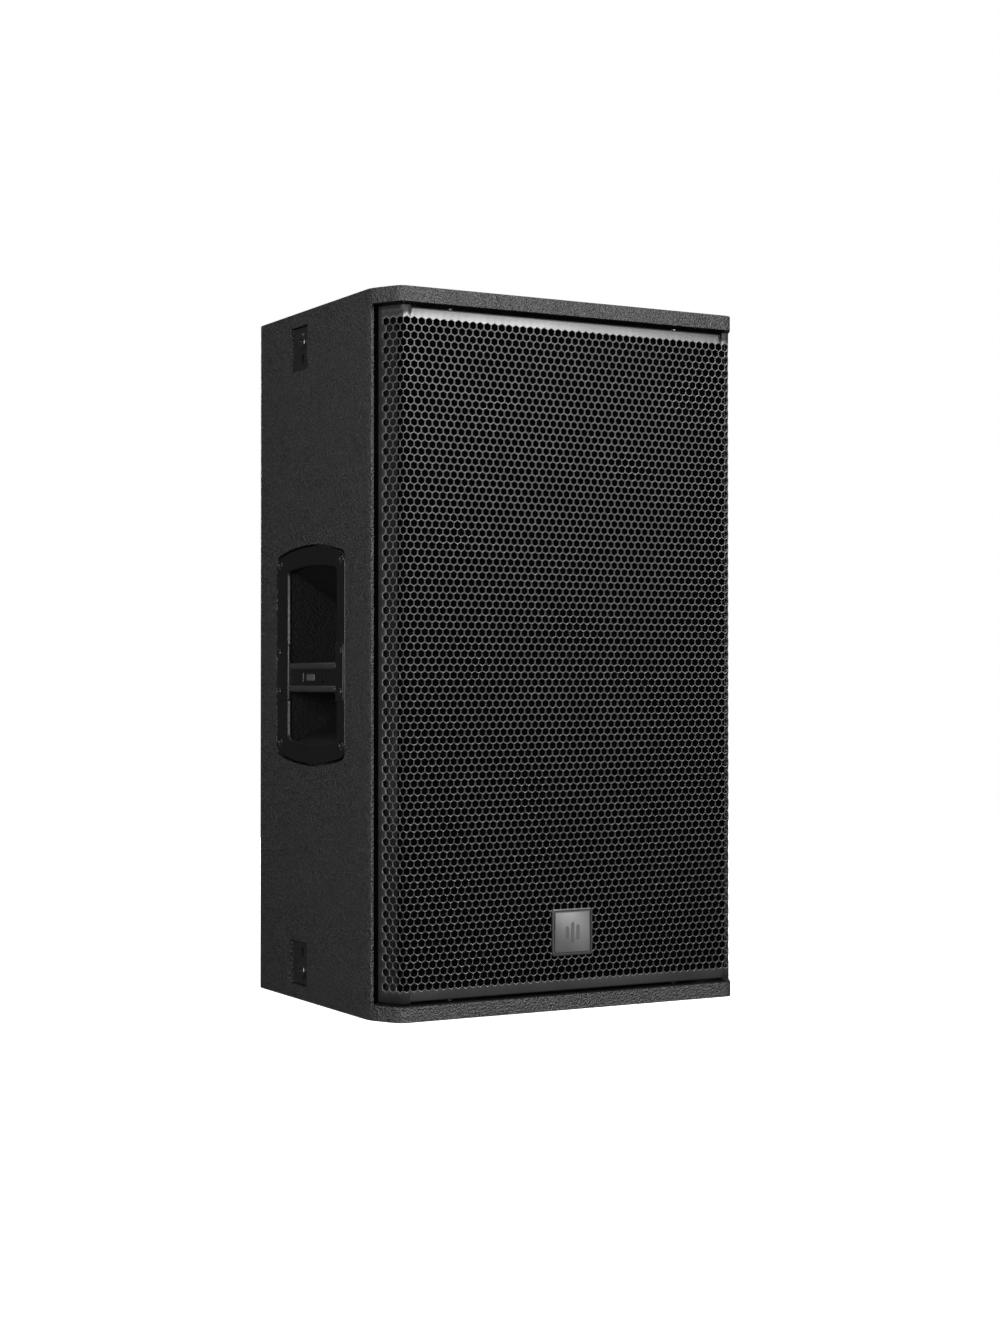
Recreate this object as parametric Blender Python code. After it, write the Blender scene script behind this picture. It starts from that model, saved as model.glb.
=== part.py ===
"""Powered two-way stage loudspeaker that stands upright or lies down as a floor monitor.

Frame: metres, +Z up, the grille faces -Y, and the origin is the middle of the footprint.
Each sub-part is one named object. A moving piece has its origin on its joint's axis.
"""
import math

import bmesh
import bpy
from mathutils import Vector

# Cabinet
HEIGHT = 0.705
WIDTH = 0.417
DEPTH = 0.400
WALL = 0.015
GAP = 0.0003
EDGE_ROUND = 0.0025
FRONT = -DEPTH / 2
REAR = DEPTH / 2
FRONT_FLAT = 0.382
FRONT_FACET_DEPTH = 0.0314
REAR_FACET_WIDTH = 0.075
REAR_FACET_DEPTH = 0.098
REAR_RECESS = 0.030
SIDE_FRONT = FRONT + FRONT_FACET_DEPTH
SIDE_LIP = 0.004
SIDE_REBATE = 0.010
SIDE_REAR = REAR - REAR_FACET_DEPTH
PANEL_LOW = WALL + GAP
PANEL_HIGH = HEIGHT - WALL - GAP

# Baffle
BAFFLE_FRONT = FRONT + 0.042
BAFFLE_THICK = 0.018
BAFFLE_REAR = BAFFLE_FRONT + BAFFLE_THICK

# Grille
GRILLE_SET_BACK = 0.0025
GRILLE_SHEET = 0.0015
GRILLE_FLAT = 0.3766
GRILLE_FACET = 0.030
GRILLE_LOW = 0.0195
GRILLE_HIGH = HEIGHT - 0.0195
FOAM_FRONT = FRONT + 0.0085
FOAM_THICK = 0.007
GRILLE_SCREW_X = 0.130
GRILLE_SCREW_Y = FRONT + 0.0164
GRILLE_SCREW_RADIUS = 0.004
BADGE_SIDE = 0.040
BADGE_HEIGHT = 0.077
BADGE_THICK = 0.0018

# Woofer, on an axis along Y. Distances run backwards from the baffle's front face.
WOOFER_HEIGHT = 0.228
WOOFER_RADIUS = 0.188
WOOFER_HOLE = 0.1765

# High-frequency horn and driver, also on an axis along Y
HORN_HEIGHT = 0.545
HORN_HALF_WIDTH = 0.148
HORN_HALF_HEIGHT = 0.103
HORN_FLANGE = 0.014
HORN_LENGTH = 0.120
HORN_SKIN = 0.003
THROAT_RADIUS = 0.018

# Reflex ports
PORT_X = 0.150
PORT_HEIGHT = 0.058
PORT_RADIUS = 0.025
PORT_WALL = 0.003
PORT_LENGTH = 0.120

# Side handles: Y positions are distances behind the side panel's front edge
HANDLE_FRONT = SIDE_FRONT + 0.0575
HANDLE_REAR = SIDE_FRONT + 0.2234
HANDLE_MIDDLE = HEIGHT / 2
HANDLE_CORNER = 0.100
HANDLE_RISE = 0.010
HANDLE_PLATE = 0.004
OPENING_FRONT = SIDE_FRONT + 0.0776
OPENING_REAR = SIDE_FRONT + 0.1949
OPENING_HIGH = 0.4390
OPENING_LOW = 0.2670
OPENING_RISE = 0.004
BAR_LOW = 0.314
BAR_HIGH = 0.346
BAR_DEEP = 0.0205
BAR_GROOVE = 0.0078
BAR_GROOVE_DEEP = 0.0015
CUP_DEEP = 0.060
CUP_WALL = 0.003
CUP_TOP_DROP = 0.040
CUP_BASE_RISE = 0.026
NAMEPLATE_LONG = 0.047
NAMEPLATE_TALL = 0.011
NAMEPLATE_THICK = 0.0009

# Rigging points in the side panels
RIGGING_FRONT = SIDE_FRONT + 0.1478
RIGGING_REAR = SIDE_FRONT + 0.1883
RIGGING_TALL = 0.0437
RIGGING_DEEP = 0.008
RIGGING_PLATE = 0.005
RIGGING_MARGIN = 0.0005
BOLT_Y = SIDE_FRONT + 0.1640
BOLT_FROM_END = 0.0295
BOLT_RADIUS = 0.005
BOLT_HEAD_RADIUS = 0.0080
BOLT_HEAD_TALL = 0.0025
BOLT_LENGTH = 0.026
KEYHOLE_FROM_END = 0.0485
KEYHOLE_RADIUS = 0.0035
KEYHOLE_SLOT = 0.0048

# Pole socket in the bottom panel
POLE_Y = 0.030
POLE_BORE = 0.0182
POLE_WALL = 0.003
POLE_TALL = 0.085
POLE_FLANGE_RADIUS = 0.045
POLE_FLANGE = 0.003

# Amplifier plate and what it carries. Heights are above the base, and the plate faces +Y.
REAR_FACE = REAR - REAR_RECESS
PLATE_THICK = 0.003
PLATE_HALF_WIDTH = 0.115
PLATE_LOW = 0.120
PLATE_HIGH = 0.590
PLATE_LIP = 0.015
PLATE_BACK = REAR_FACE + GAP
PLATE_FACE = PLATE_BACK + PLATE_THICK
SINK_HALF_WIDTH = 0.098
SINK_LOW = 0.400
SINK_HIGH = 0.565
SINK_BASE = 0.005
SINK_DEEP = 0.022
SINK_FINS = 13
SINK_FIN_THICK = 0.0025
SOCKET_ROW = 0.345
POWER_ROW = 0.190
CONTROL_ROW = 0.275
INPUT_X = -0.055
LINK_X = 0.000
POWER_IN_X = -0.050
POWER_OUT_X = 0.000
SOCKET_BODY = 0.0116
SOCKET_BORE = 0.0090
SOCKET_DEEP = 0.0080
SOCKET_LONG = 0.020
SOCKET_FLANGE_X = 0.0130
SOCKET_FLANGE_Z = 0.0155
SOCKET_FLANGE = 0.0025
LATCH_ABOVE = 0.0122
KNOB_X = -0.055
KNOB_RADIUS = 0.0085
KNOB_TALL = 0.014
SHAFT_RADIUS = 0.003
BUTTON_X = 0.000
BUTTON_RADIUS = 0.0045
BUTTON_TALL = 0.004
LIGHT_X = 0.055
LIGHT_RADIUS = 0.0030
ROCKER_X = 0.055
ROCKER_HALF_WIDTH = 0.0050
ROCKER_HALF_TALL = 0.0090
ROCKER_CLEAR = 0.0018
ROCKER_FLANGE_X = 0.0080
ROCKER_FLANGE_Z = 0.0140

LARGE_ROUND = 32
MEDIUM_ROUND = 24
SMALL_ROUND = 20
SIDES = (("left", -1), ("right", 1))


# Tools

def clear_scene():
    for item in list(bpy.data.objects):
        bpy.data.objects.remove(item, do_unlink=True)


def make_material(name, colour, roughness, metallic=0.0):
    made = bpy.data.materials.new(name)
    made.use_nodes = True
    shader = made.node_tree.nodes["Principled BSDF"]
    shader.inputs["Base Color"].default_value = (*colour, 1.0)
    shader.inputs["Roughness"].default_value = roughness
    shader.inputs["Metallic"].default_value = metallic
    return made


def add_object(name, shape, finish, at=(0.0, 0.0, 0.0)):
    """Make a bmesh into a named object whose faces point out."""
    bmesh.ops.recalc_face_normals(shape, faces=shape.faces)
    mesh = bpy.data.meshes.new(name)
    shape.to_mesh(mesh)
    shape.free()
    if finish:
        mesh.materials.append(finish)
    made = bpy.data.objects.new(name, mesh)
    made.location = at
    bpy.context.scene.collection.objects.link(made)
    return made


def smooth(item, angle=40.0):
    item.data.shade_smooth()
    item.data.set_sharp_from_angle(angle=math.radians(angle))
    return item


def place(axis, first, second, along):
    """A point from two coordinates across an axis and one along it, in X, Y, Z order."""
    if axis == "X":
        return (along, first, second)
    if axis == "Y":
        return (first, along, second)
    return (first, second, along)


def prism(name, outline, axis, start, stop, finish, at=(0.0, 0.0, 0.0)):
    """Extrude a flat outline along X, Y or Z."""
    shape = bmesh.new()
    corners = [shape.verts.new(place(axis, a, b, start)) for a, b in outline]
    base = shape.faces.new(corners)
    grown = bmesh.ops.extrude_face_region(shape, geom=[base])
    moved = [item for item in grown["geom"] if isinstance(item, bmesh.types.BMVert)]
    bmesh.ops.translate(shape, verts=moved, vec=place(axis, 0.0, 0.0, stop - start))
    return add_object(name, shape, finish, at)


def block(name, low, high, finish):
    """An upright box between two corners."""
    outline = [(low[0], low[1]), (high[0], low[1]), (high[0], high[1]), (low[0], high[1])]
    return prism(name, outline, "Z", low[2], high[2], finish)


def turned(name, profile, at, axis, steps, finish):
    """Spin a closed outline of (radius, distance along the axis) points about an axis."""
    shape = bmesh.new()
    corners = [shape.verts.new(place(axis, radius, 0.0, along)) for radius, along in profile]
    edges = []
    for index, corner in enumerate(corners):
        following = (index + 1) % len(corners)
        if profile[index][0] > 0.0 or profile[following][0] > 0.0:
            edges.append(shape.edges.new((corner, corners[following])))
    bmesh.ops.spin(shape, geom=corners + edges, cent=(0.0, 0.0, 0.0), axis=place(axis, 0, 0, 1),
                   angle=math.tau, steps=steps)
    bmesh.ops.remove_doubles(shape, verts=shape.verts, dist=0.00001)
    return smooth(add_object(name, shape, finish, at))


def loft(name, rings, finish, closed=False, at=(0.0, 0.0, 0.0)):
    """Skin a chain of rings. A closed chain joins its last ring to its first."""
    shape = bmesh.new()
    loops = [[shape.verts.new(point) for point in ring] for ring in rings]
    pairs = list(zip(loops, loops[1:]))
    if closed:
        pairs.append((loops[-1], loops[0]))
    for lower, upper in pairs:
        for index in range(len(lower)):
            following = (index + 1) % len(lower)
            shape.faces.new((lower[index], lower[following], upper[following], upper[index]))
    if not closed:
        shape.faces.new(loops[0])
        shape.faces.new(loops[-1])
    return add_object(name, shape, finish, at)


def oval(half_a, half_b, squareness, count):
    """Points of a superellipse: 2 gives an ellipse, and higher values a rounded rectangle."""
    points = []
    for index in range(count):
        turn = math.tau * (index + 0.5) / count
        across = math.copysign(abs(math.cos(turn)) ** (2.0 / squareness), math.cos(turn))
        up = math.copysign(abs(math.sin(turn)) ** (2.0 / squareness), math.sin(turn))
        points.append((half_a * across, half_b * up))
    return points


def oval_ring(axis, along, half_a, half_b, squareness=2.0, count=SMALL_ROUND):
    return [place(axis, a, b, along) for a, b in oval(half_a, half_b, squareness, count)]


def combine(target, tool, operation):
    """Cut with a hidden cutter, or join a hidden piece, exactly."""
    step = target.modifiers.new(tool.name, "BOOLEAN")
    step.operation = operation
    step.solver = "EXACT"
    step.object = tool
    tool.hide_render = True
    tool.display_type = "WIRE"


def cut(target, tool):
    combine(target, tool, "DIFFERENCE")


def join(target, tool):
    combine(target, tool, "UNION")


def round_edges(item, width, segments=2):
    step = item.modifiers.new("round", "BEVEL")
    step.width = width
    step.segments = segments
    step.limit_method = "ANGLE"
    step.angle_limit = math.radians(40.0)


def clearance(radius, steps=SMALL_ROUND):
    """Radius of a many-sided hole whose flats clear a round piece by the gap."""
    return (radius + GAP) / math.cos(math.pi / steps)


def pegs(name, axis, start, stop, spots, steps=SMALL_ROUND):
    """One cutter of several round pegs, each spot an (across, up, radius)."""
    shape = bmesh.new()
    for across, up, radius in spots:
        ring = oval(radius, radius, 2.0, steps)
        corners = [shape.verts.new(place(axis, across + a, up + b, start)) for a, b in ring]
        base = shape.faces.new(corners)
        grown = bmesh.ops.extrude_face_region(shape, geom=[base])
        moved = [item for item in grown["geom"] if isinstance(item, bmesh.types.BMVert)]
        bmesh.ops.translate(shape, verts=moved, vec=place(axis, 0.0, 0.0, stop - start))
    return add_object(name, shape, None)


# Cabinet plan

def inner_corner(before, corner, after):
    """The corner of an outline moved inwards by the wall's thickness, on the mitre."""
    corner = Vector(corner)
    first = (corner - Vector(before)).normalized()
    second = (Vector(after) - corner).normalized()
    first_normal = Vector((-first.y, first.x))
    second_normal = Vector((-second.y, second.x))
    spread = 1.0 + first_normal.dot(second_normal)
    return corner + (first_normal + second_normal) * (WALL / spread)


def half_plan():
    """Plan corners on the right, from the front to the rear."""
    return [
        (FRONT_FLAT / 2, FRONT),
        (WIDTH / 2, SIDE_FRONT),
        (WIDTH / 2, SIDE_REAR),
        (WIDTH / 2 - REAR_FACET_WIDTH, REAR),
    ]


def mirrored(points, side):
    return [(side * x, y) for x, y in points]


def full_plan():
    right = half_plan()
    return right + mirrored(right[::-1], -1)


def facet_inner_x(y):
    """Where the inside face of the right rear facet panel lies, at a depth y."""
    corners = half_plan()
    start = inner_corner(corners[1], corners[2], corners[3])
    slope = REAR_FACET_WIDTH / REAR_FACET_DEPTH
    return start.x - (y - start.y) * slope


# Cabinet panels

def end_panel(name, inner, outer, finish):
    """Top or bottom panel. Its outer rim and its whole front edge are rounded."""
    panel = prism(name, full_plan(), "Z", inner, outer, finish)
    shape = bmesh.new()
    shape.from_mesh(panel.data)
    rounded = []
    for edge in shape.edges:
        middle = (edge.verts[0].co + edge.verts[1].co) / 2
        on_rim = abs(middle.z - outer) < GAP
        in_front = middle.y < SIDE_FRONT - GAP
        if on_rim or in_front:
            rounded.append(edge)
    bmesh.ops.bevel(shape, geom=rounded, offset=EDGE_ROUND, segments=2, affect="EDGES", profile=0.5)
    shape.to_mesh(panel.data)
    shape.free()
    return panel


def side_panel(name, side, finish):
    corners = half_plan()
    mitre = inner_corner(corners[1], corners[2], corners[3])
    lip = WIDTH / 2 - SIDE_LIP
    seat = SIDE_FRONT + SIDE_REBATE
    outline = [(WIDTH / 2 - WALL, seat), (lip, seat), (lip, SIDE_FRONT), corners[1], corners[2], (mitre.x, mitre.y)]
    panel = prism(name, mirrored(outline, side), "Z", PANEL_LOW, PANEL_HIGH, finish)
    for cutter in handle_cutters(name, side) + rigging_cutters(name, side):
        cut(panel, cutter)
    return panel


def rear_facet_panel(name, side, finish):
    corners = half_plan()
    mitre = inner_corner(corners[1], corners[2], corners[3])
    along = (Vector(corners[3]) - Vector(corners[2])).normalized() * GAP
    outer_start = Vector(corners[2]) + along
    inner_start = mitre + along
    outline = [
        (outer_start.x, outer_start.y),
        corners[3],
        (facet_inner_x(REAR), REAR),
        (inner_start.x, inner_start.y),
    ]
    return prism(name, mirrored(outline, side), "Z", PANEL_LOW, PANEL_HIGH, finish)


def rear_panel(finish):
    front = REAR_FACE - WALL
    right = [(facet_inner_x(front) - GAP, front), (facet_inner_x(REAR_FACE) - GAP, REAR_FACE)]
    outline = right + mirrored(right[::-1], -1)
    panel = prism("rear_panel", outline, "Z", PANEL_LOW, PANEL_HIGH, finish)
    reach = 2 * WALL
    window = block("rear_panel_window",
                   (-PLATE_HALF_WIDTH + PLATE_LIP, front - reach, PLATE_LOW + PLATE_LIP),
                   (PLATE_HALF_WIDTH - PLATE_LIP, REAR_FACE + reach, PLATE_HIGH - PLATE_LIP), None)
    cut(panel, window)
    return panel


def front_baffle(finish):
    half = WIDTH / 2 - WALL - GAP
    baffle = block("front_baffle", (-half, BAFFLE_FRONT, PANEL_LOW), (half, BAFFLE_REAR, PANEL_HIGH), finish)
    start = BAFFLE_FRONT - WALL
    stop = BAFFLE_REAR + WALL
    cut(baffle, pegs("woofer_cutout", "Y", start, stop, [(0.0, WOOFER_HEIGHT, WOOFER_HOLE)], LARGE_ROUND))
    port_hole = clearance(PORT_RADIUS + PORT_WALL)
    ports = [(side * PORT_X, PORT_HEIGHT, port_hole) for _, side in SIDES]
    cut(baffle, pegs("port_cutouts", "Y", start, stop, ports))
    clear = HORN_SKIN + 2 * GAP
    horn_hole = [(a, b + HORN_HEIGHT)
                 for a, b in oval(HORN_HALF_WIDTH + clear, HORN_HALF_HEIGHT + clear, 8.0, MEDIUM_ROUND)]
    cut(baffle, prism("horn_cutout", horn_hole, "Y", start, stop, None))
    return baffle


# Grille

def grille_plan(inset, back):
    """Plan of the folded sheet: the front and its two side facets, with the open back."""
    lean = math.atan2(FRONT_FACET_DEPTH, (WIDTH - FRONT_FLAT) / 2)
    half = GRILLE_FLAT / 2 - inset * math.tan(lean / 2)
    front = FRONT + GRILLE_SET_BACK + inset
    depth = GRILLE_FACET * math.sin(lean) + back
    reach = depth / math.tan(lean)
    right = [(half, front), (half + reach, front + depth)]
    return right + mirrored(right[::-1], -1)


def grille(finish):
    tray = prism("grille", grille_plan(0.0, 0.0), "Z", GRILLE_LOW, GRILLE_HIGH, finish)
    hollow = prism("grille_hollow", grille_plan(GRILLE_SHEET, WALL), "Z",
                   GRILLE_LOW + GRILLE_SHEET, GRILLE_HIGH - GRILLE_SHEET, None)
    cut(tray, hollow)
    return tray


def grille_foam(finish):
    half = GRILLE_FLAT / 2 - GRILLE_SHEET
    margin = 2 * GRILLE_SHEET
    return block("grille_foam", (-half, FOAM_FRONT, GRILLE_LOW + margin),
                 (half, FOAM_FRONT + FOAM_THICK, GRILLE_HIGH - margin), finish)


def grille_screws(finish):
    spans = {"top": (GRILLE_HIGH + GAP, HEIGHT - WALL - GAP), "bottom": (WALL + GAP, GRILLE_LOW - GAP)}
    for level, (low, high) in spans.items():
        for name, side in SIDES:
            waist = (high - low) * 0.25
            radius = GRILLE_SCREW_RADIUS
            profile = [(0.0, low), (radius * 0.75, low), (radius, low + waist), (radius, high - waist),
                       (radius * 0.75, high), (0.0, high)]
            turned(f"grille_screw_{level}_{name}", profile, (side * GRILLE_SCREW_X, GRILLE_SCREW_Y, 0.0), "Z",
                   SMALL_ROUND, finish)


def front_badge(finish):
    half = BADGE_SIDE / 2
    front = FRONT + GAP
    badge = block("front_badge", (-half, front, BADGE_HEIGHT - half),
                  (half, front + BADGE_THICK, BADGE_HEIGHT + half), finish)
    round_edges(badge, 0.0005, 1)
    return badge


# Woofer

def woofer_part(name, profile, finish, steps=LARGE_ROUND):
    return turned(name, profile, (0.0, BAFFLE_FRONT, WOOFER_HEIGHT), "Y", steps, finish)


def woofer_basket(finish):
    return woofer_part("woofer_basket", [
        (WOOFER_RADIUS, -0.0070), (WOOFER_RADIUS, -0.0003), (0.1755, -0.0003), (0.1740, 0.0240),
        (0.1050, 0.0900), (0.0800, 0.0930), (0.0800, 0.1027), (0.0460, 0.1027), (0.0460, 0.0895),
        (0.0780, 0.0870), (0.1000, 0.0835), (0.1690, 0.0215), (0.1705, -0.0030), (0.1705, -0.0070),
    ], finish)


def woofer_surround(finish):
    """A half roll between the cone's rim and the basket's rim, 1.2 mm thick."""
    middle = 0.1595
    outer_roll = 0.0078
    inner_roll = 0.0066
    arc = [math.pi * step / 4 for step in range(5)]
    outside = [(middle + outer_roll * math.cos(turn), -0.0042 - outer_roll * math.sin(turn)) for turn in arc]
    inside = [(middle + inner_roll * math.cos(turn), -0.0042 - inner_roll * math.sin(turn)) for turn in arc]
    lips_out = [(0.1700, -0.0030), (0.1700, -0.0042)]
    lips_in = [(0.1508, -0.0042), (0.1508, -0.0030)]
    return woofer_part("woofer_surround", lips_out + outside + lips_in + inside[::-1], finish)


def woofer_cone(finish):
    return woofer_part("woofer_cone", [
        (0.1504, -0.0035), (0.1504, -0.0020), (0.1440, 0.0015), (0.0920, 0.0310), (0.0405, 0.0730),
        (0.0392, 0.0730), (0.0392, 0.0715), (0.0910, 0.0290), (0.1435, -0.0005), (0.1485, -0.0035),
    ], finish)


def woofer_dust_cap(finish):
    """A shallow dome that covers the voice coil's end."""
    rim = 0.052
    dome = 0.016
    skin = 0.0010
    base = 0.0590
    rise = [(rim * (1 - step / 4), base - dome * (1 - (1 - step / 4) ** 2)) for step in range(5)]
    under = [(radius * 0.98, along + skin) for radius, along in rise]
    return woofer_part("woofer_dust_cap", rise + under[::-1], finish, MEDIUM_ROUND)


def woofer_voice_coil(finish):
    return woofer_part("woofer_voice_coil", [
        (0.0372, 0.0665), (0.0388, 0.0665), (0.0388, 0.1190), (0.0372, 0.1190),
    ], finish, MEDIUM_ROUND)


def woofer_spider(finish):
    """The corrugated disc that centres the voice coil."""
    waves = 3
    inner = 0.0398
    outer = 0.0770
    thick = 0.0012
    middle = 0.0800
    count = 2 * waves + 1
    front = []
    for step in range(count):
        radius = inner + (outer - inner) * step / (count - 1)
        lift = 0.0020 if step % 2 else -0.0020
        front.append((radius, middle + lift))
    back = [(radius, along + thick) for radius, along in front]
    return woofer_part("woofer_spider", front + back[::-1], finish, MEDIUM_ROUND)


def woofer_motor(steel, ferrite):
    woofer_part("woofer_top_plate", [
        (0.0396, 0.1030), (0.0750, 0.1030), (0.0750, 0.1110), (0.0396, 0.1110)], steel, MEDIUM_ROUND)
    woofer_part("woofer_magnet", [
        (0.0450, 0.1113), (0.0850, 0.1113), (0.0850, 0.1313), (0.0450, 0.1313)], ferrite, MEDIUM_ROUND)
    woofer_part("woofer_pole_piece", [
        (0.0, 0.1020), (0.0365, 0.1020), (0.0365, 0.1316), (0.0800, 0.1316), (0.0800, 0.1400),
        (0.0, 0.1400)], steel, MEDIUM_ROUND)


# Horn and compression driver

def horn(finish):
    """A waveguide whose section goes from a rounded rectangle to the round throat."""
    steps = 6
    inside = []
    outside = []
    for step in range(steps + 1):
        reach = step / steps
        narrow = reach ** 0.75
        half_width = HORN_HALF_WIDTH + (THROAT_RADIUS - HORN_HALF_WIDTH) * narrow
        half_height = HORN_HALF_HEIGHT + (THROAT_RADIUS - HORN_HALF_HEIGHT) * narrow
        squareness = 8.0 - 6.0 * reach ** 0.5
        along = -HORN_SKIN + (HORN_LENGTH + HORN_SKIN) * reach
        inside.append(oval_ring("Y", along, half_width, half_height, squareness, MEDIUM_ROUND))
        skinned = max(along, -GAP)
        outside.append(oval_ring("Y", skinned, half_width + HORN_SKIN, half_height + HORN_SKIN,
                                 squareness, MEDIUM_ROUND))
    rim_width = HORN_HALF_WIDTH + HORN_FLANGE
    rim_height = HORN_HALF_HEIGHT + HORN_FLANGE
    rim = [oval_ring("Y", along, rim_width, rim_height, 8.0, MEDIUM_ROUND) for along in (-HORN_SKIN, -GAP)]
    made = loft("horn", inside[::-1] + rim + outside, finish, True, (0.0, BAFFLE_FRONT, HORN_HEIGHT))
    return smooth(made)


def hf_part(name, profile, finish):
    at = (0.0, BAFFLE_FRONT + HORN_LENGTH + GAP, HORN_HEIGHT)
    return turned(name, profile, at, "Y", MEDIUM_ROUND, finish)


def hf_driver(steel, foil, cover):
    """Compression driver: a housing with a rear chamber, the dome in it and a screwed cap."""
    chamber = 0.044
    floor = 0.040
    rear = 0.054
    hf_part("hf_driver_housing", [
        (THROAT_RADIUS, 0.0), (0.050, 0.0), (0.050, 0.010), (0.066, 0.012), (0.066, rear), (chamber, rear),
        (chamber, floor), (THROAT_RADIUS, floor - 0.004)], steel)
    dome = [(0.038 * (1 - step / 3), 0.0450 + 0.0060 * (1 - (1 - step / 3) ** 2)) for step in range(4)]
    under = [(radius * 0.98, along - 0.0010) for radius, along in dome]
    hf_part("hf_diaphragm", dome + under[::-1], foil)
    hf_part("hf_rear_cap", [
        (0.0, rear + GAP), (0.066, rear + GAP), (0.066, rear + 0.004), (0.058, rear + 0.010),
        (0.0, rear + 0.010)], cover)


def reflex_ports(finish):
    outer = PORT_RADIUS + PORT_WALL
    flare = outer + 0.004
    for name, side in SIDES:
        turned(f"{name}_reflex_port", [
            (PORT_RADIUS, -0.002), (flare, -0.002), (flare, -GAP), (outer, -GAP), (outer, PORT_LENGTH),
            (PORT_RADIUS, PORT_LENGTH)], (side * PORT_X, BAFFLE_FRONT, PORT_HEIGHT), "Y", SMALL_ROUND, finish)


# Side handles

def arched(front, rear, low, high, rise_low, rise_high, steps=8):
    """An upright outline in Y and Z whose top and bottom bow out by their rises."""
    half = (rear - front) / 2
    middle = (rear + front) / 2
    points = []
    for step in range(steps + 1):
        share = -1 + 2 * step / steps
        points.append((middle + half * share, low - rise_low * (1 - share * share)))
    for step in range(steps + 1):
        share = 1 - 2 * step / steps
        points.append((middle + half * share, high + rise_high * (1 - share * share)))
    return points


def handle_outline(extra):
    return arched(HANDLE_FRONT - extra, HANDLE_REAR + extra, HANDLE_MIDDLE - HANDLE_CORNER - extra,
                  HANDLE_MIDDLE + HANDLE_CORNER + extra, HANDLE_RISE, HANDLE_RISE)


def handle_cutters(name, side):
    """The rebate that the handle's plate lies in, and the hole for its cup."""
    wall = side * WIDTH / 2
    floor = wall - side * (HANDLE_PLATE + GAP)
    beyond = wall + side * WALL
    rebate = prism(f"{name}_rebate", handle_outline(GAP), "X", floor, beyond, None)
    spread = CUP_WALL + GAP
    hole = arched(OPENING_FRONT - spread, OPENING_REAR + spread, OPENING_LOW - OPENING_RISE - spread,
                  OPENING_HIGH + OPENING_RISE + spread, 0.0, 0.0, 1)
    inside = wall - side * 2 * WALL
    return [rebate, prism(f"{name}_cup_hole", hole, "X", inside, beyond, None)]


def handle_frame(name, side, finish):
    """A cast plate with two finger openings and a thick grip bar between them."""
    face = side * WIDTH / 2
    back = face - side * HANDLE_PLATE
    beyond = face + side * WALL
    behind = back - side * WALL
    frame = prism(name, handle_outline(0.0), "X", face, back, finish)
    upper = arched(OPENING_FRONT, OPENING_REAR, BAR_HIGH, OPENING_HIGH, 0.0, OPENING_RISE)
    lower = arched(OPENING_FRONT, OPENING_REAR, OPENING_LOW, BAR_LOW, OPENING_RISE, 0.0)
    cut(frame, prism(f"{name}_upper", upper, "X", behind, beyond, None))
    cut(frame, prism(f"{name}_lower", lower, "X", behind, beyond, None))
    inner = face - side * BAR_DEEP
    inset = 2 * GAP
    root = back + side * inset
    bar = block(f"{name}_bar", (min(root, inner), OPENING_FRONT + inset, BAR_LOW + inset),
                (max(root, inner), OPENING_REAR - inset, BAR_HIGH - inset), None)
    join(frame, bar)
    middle = (BAR_LOW + BAR_HIGH) / 2
    floor = face - side * BAR_GROOVE_DEEP
    groove = arched(OPENING_FRONT + 5 * BAR_GROOVE_DEEP, OPENING_REAR - 5 * BAR_GROOVE_DEEP,
                    middle - BAR_GROOVE, middle + BAR_GROOVE, 0.0, 0.0, 1)
    cut(frame, prism(f"{name}_groove", groove, "X", floor, beyond, None))
    return frame


def handle_cup(name, side, finish):
    """The closed pocket behind the openings. Its top and bottom slope in towards its floor."""
    mouth = side * (WIDTH / 2 - HANDLE_PLATE - GAP)
    floor = side * (WIDTH / 2 - CUP_DEEP)
    low = OPENING_LOW - OPENING_RISE
    high = OPENING_HIGH + OPENING_RISE

    def ring(along, grow, deep_end):
        bottom = low + (CUP_BASE_RISE if deep_end else 0.0) - grow
        top = high - (CUP_TOP_DROP if deep_end else 0.0) + grow
        front = OPENING_FRONT - grow
        rear = OPENING_REAR + grow
        return [(along, front, bottom), (along, rear, bottom), (along, rear, top), (along, front, top)]

    outer_floor = floor - side * CUP_WALL
    rings = [ring(floor, 0.0, True), ring(mouth, 0.0, False), ring(mouth, CUP_WALL, False),
             ring(outer_floor, CUP_WALL, True)]
    return loft(name, rings, finish)


def handle_nameplate(name, side, finish):
    """A small blank plate in the grip bar's groove."""
    floor = side * (WIDTH / 2 - BAR_GROOVE_DEEP + GAP)
    middle_y = (OPENING_FRONT + OPENING_REAR) / 2
    middle_z = (BAR_LOW + BAR_HIGH) / 2
    outline = arched(middle_y - NAMEPLATE_LONG / 2, middle_y + NAMEPLATE_LONG / 2,
                     middle_z - NAMEPLATE_TALL / 2, middle_z + NAMEPLATE_TALL / 2, 0.0, 0.0, 1)
    return prism(name, outline, "X", floor, floor + side * NAMEPLATE_THICK, finish)


# Rigging points

def rigging_levels():
    """The two levels, each with the height of its pocket's end and the way into the panel."""
    return (("bottom", WALL, 1), ("top", HEIGHT - WALL, -1))


def rigging_cutters(name, side):
    wall = side * WIDTH / 2
    floor = wall - side * RIGGING_DEEP
    cutters = []
    for level, end, way in rigging_levels():
        start = end - way * WALL / 2
        stop = end + way * RIGGING_TALL
        pocket = arched(RIGGING_FRONT, RIGGING_REAR, min(start, stop), max(start, stop), 0.0, 0.0, 1)
        cutters.append(prism(f"{name}_{level}_pocket", pocket, "X", floor, wall + side * WALL, None))
        hole = (BOLT_Y, end + way * (BOLT_FROM_END - WALL), clearance(BOLT_RADIUS))
        cutters.append(pegs(f"{name}_{level}_bolt_hole", "X", wall - side * 2 * WALL, wall, [hole]))
    return cutters


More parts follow.
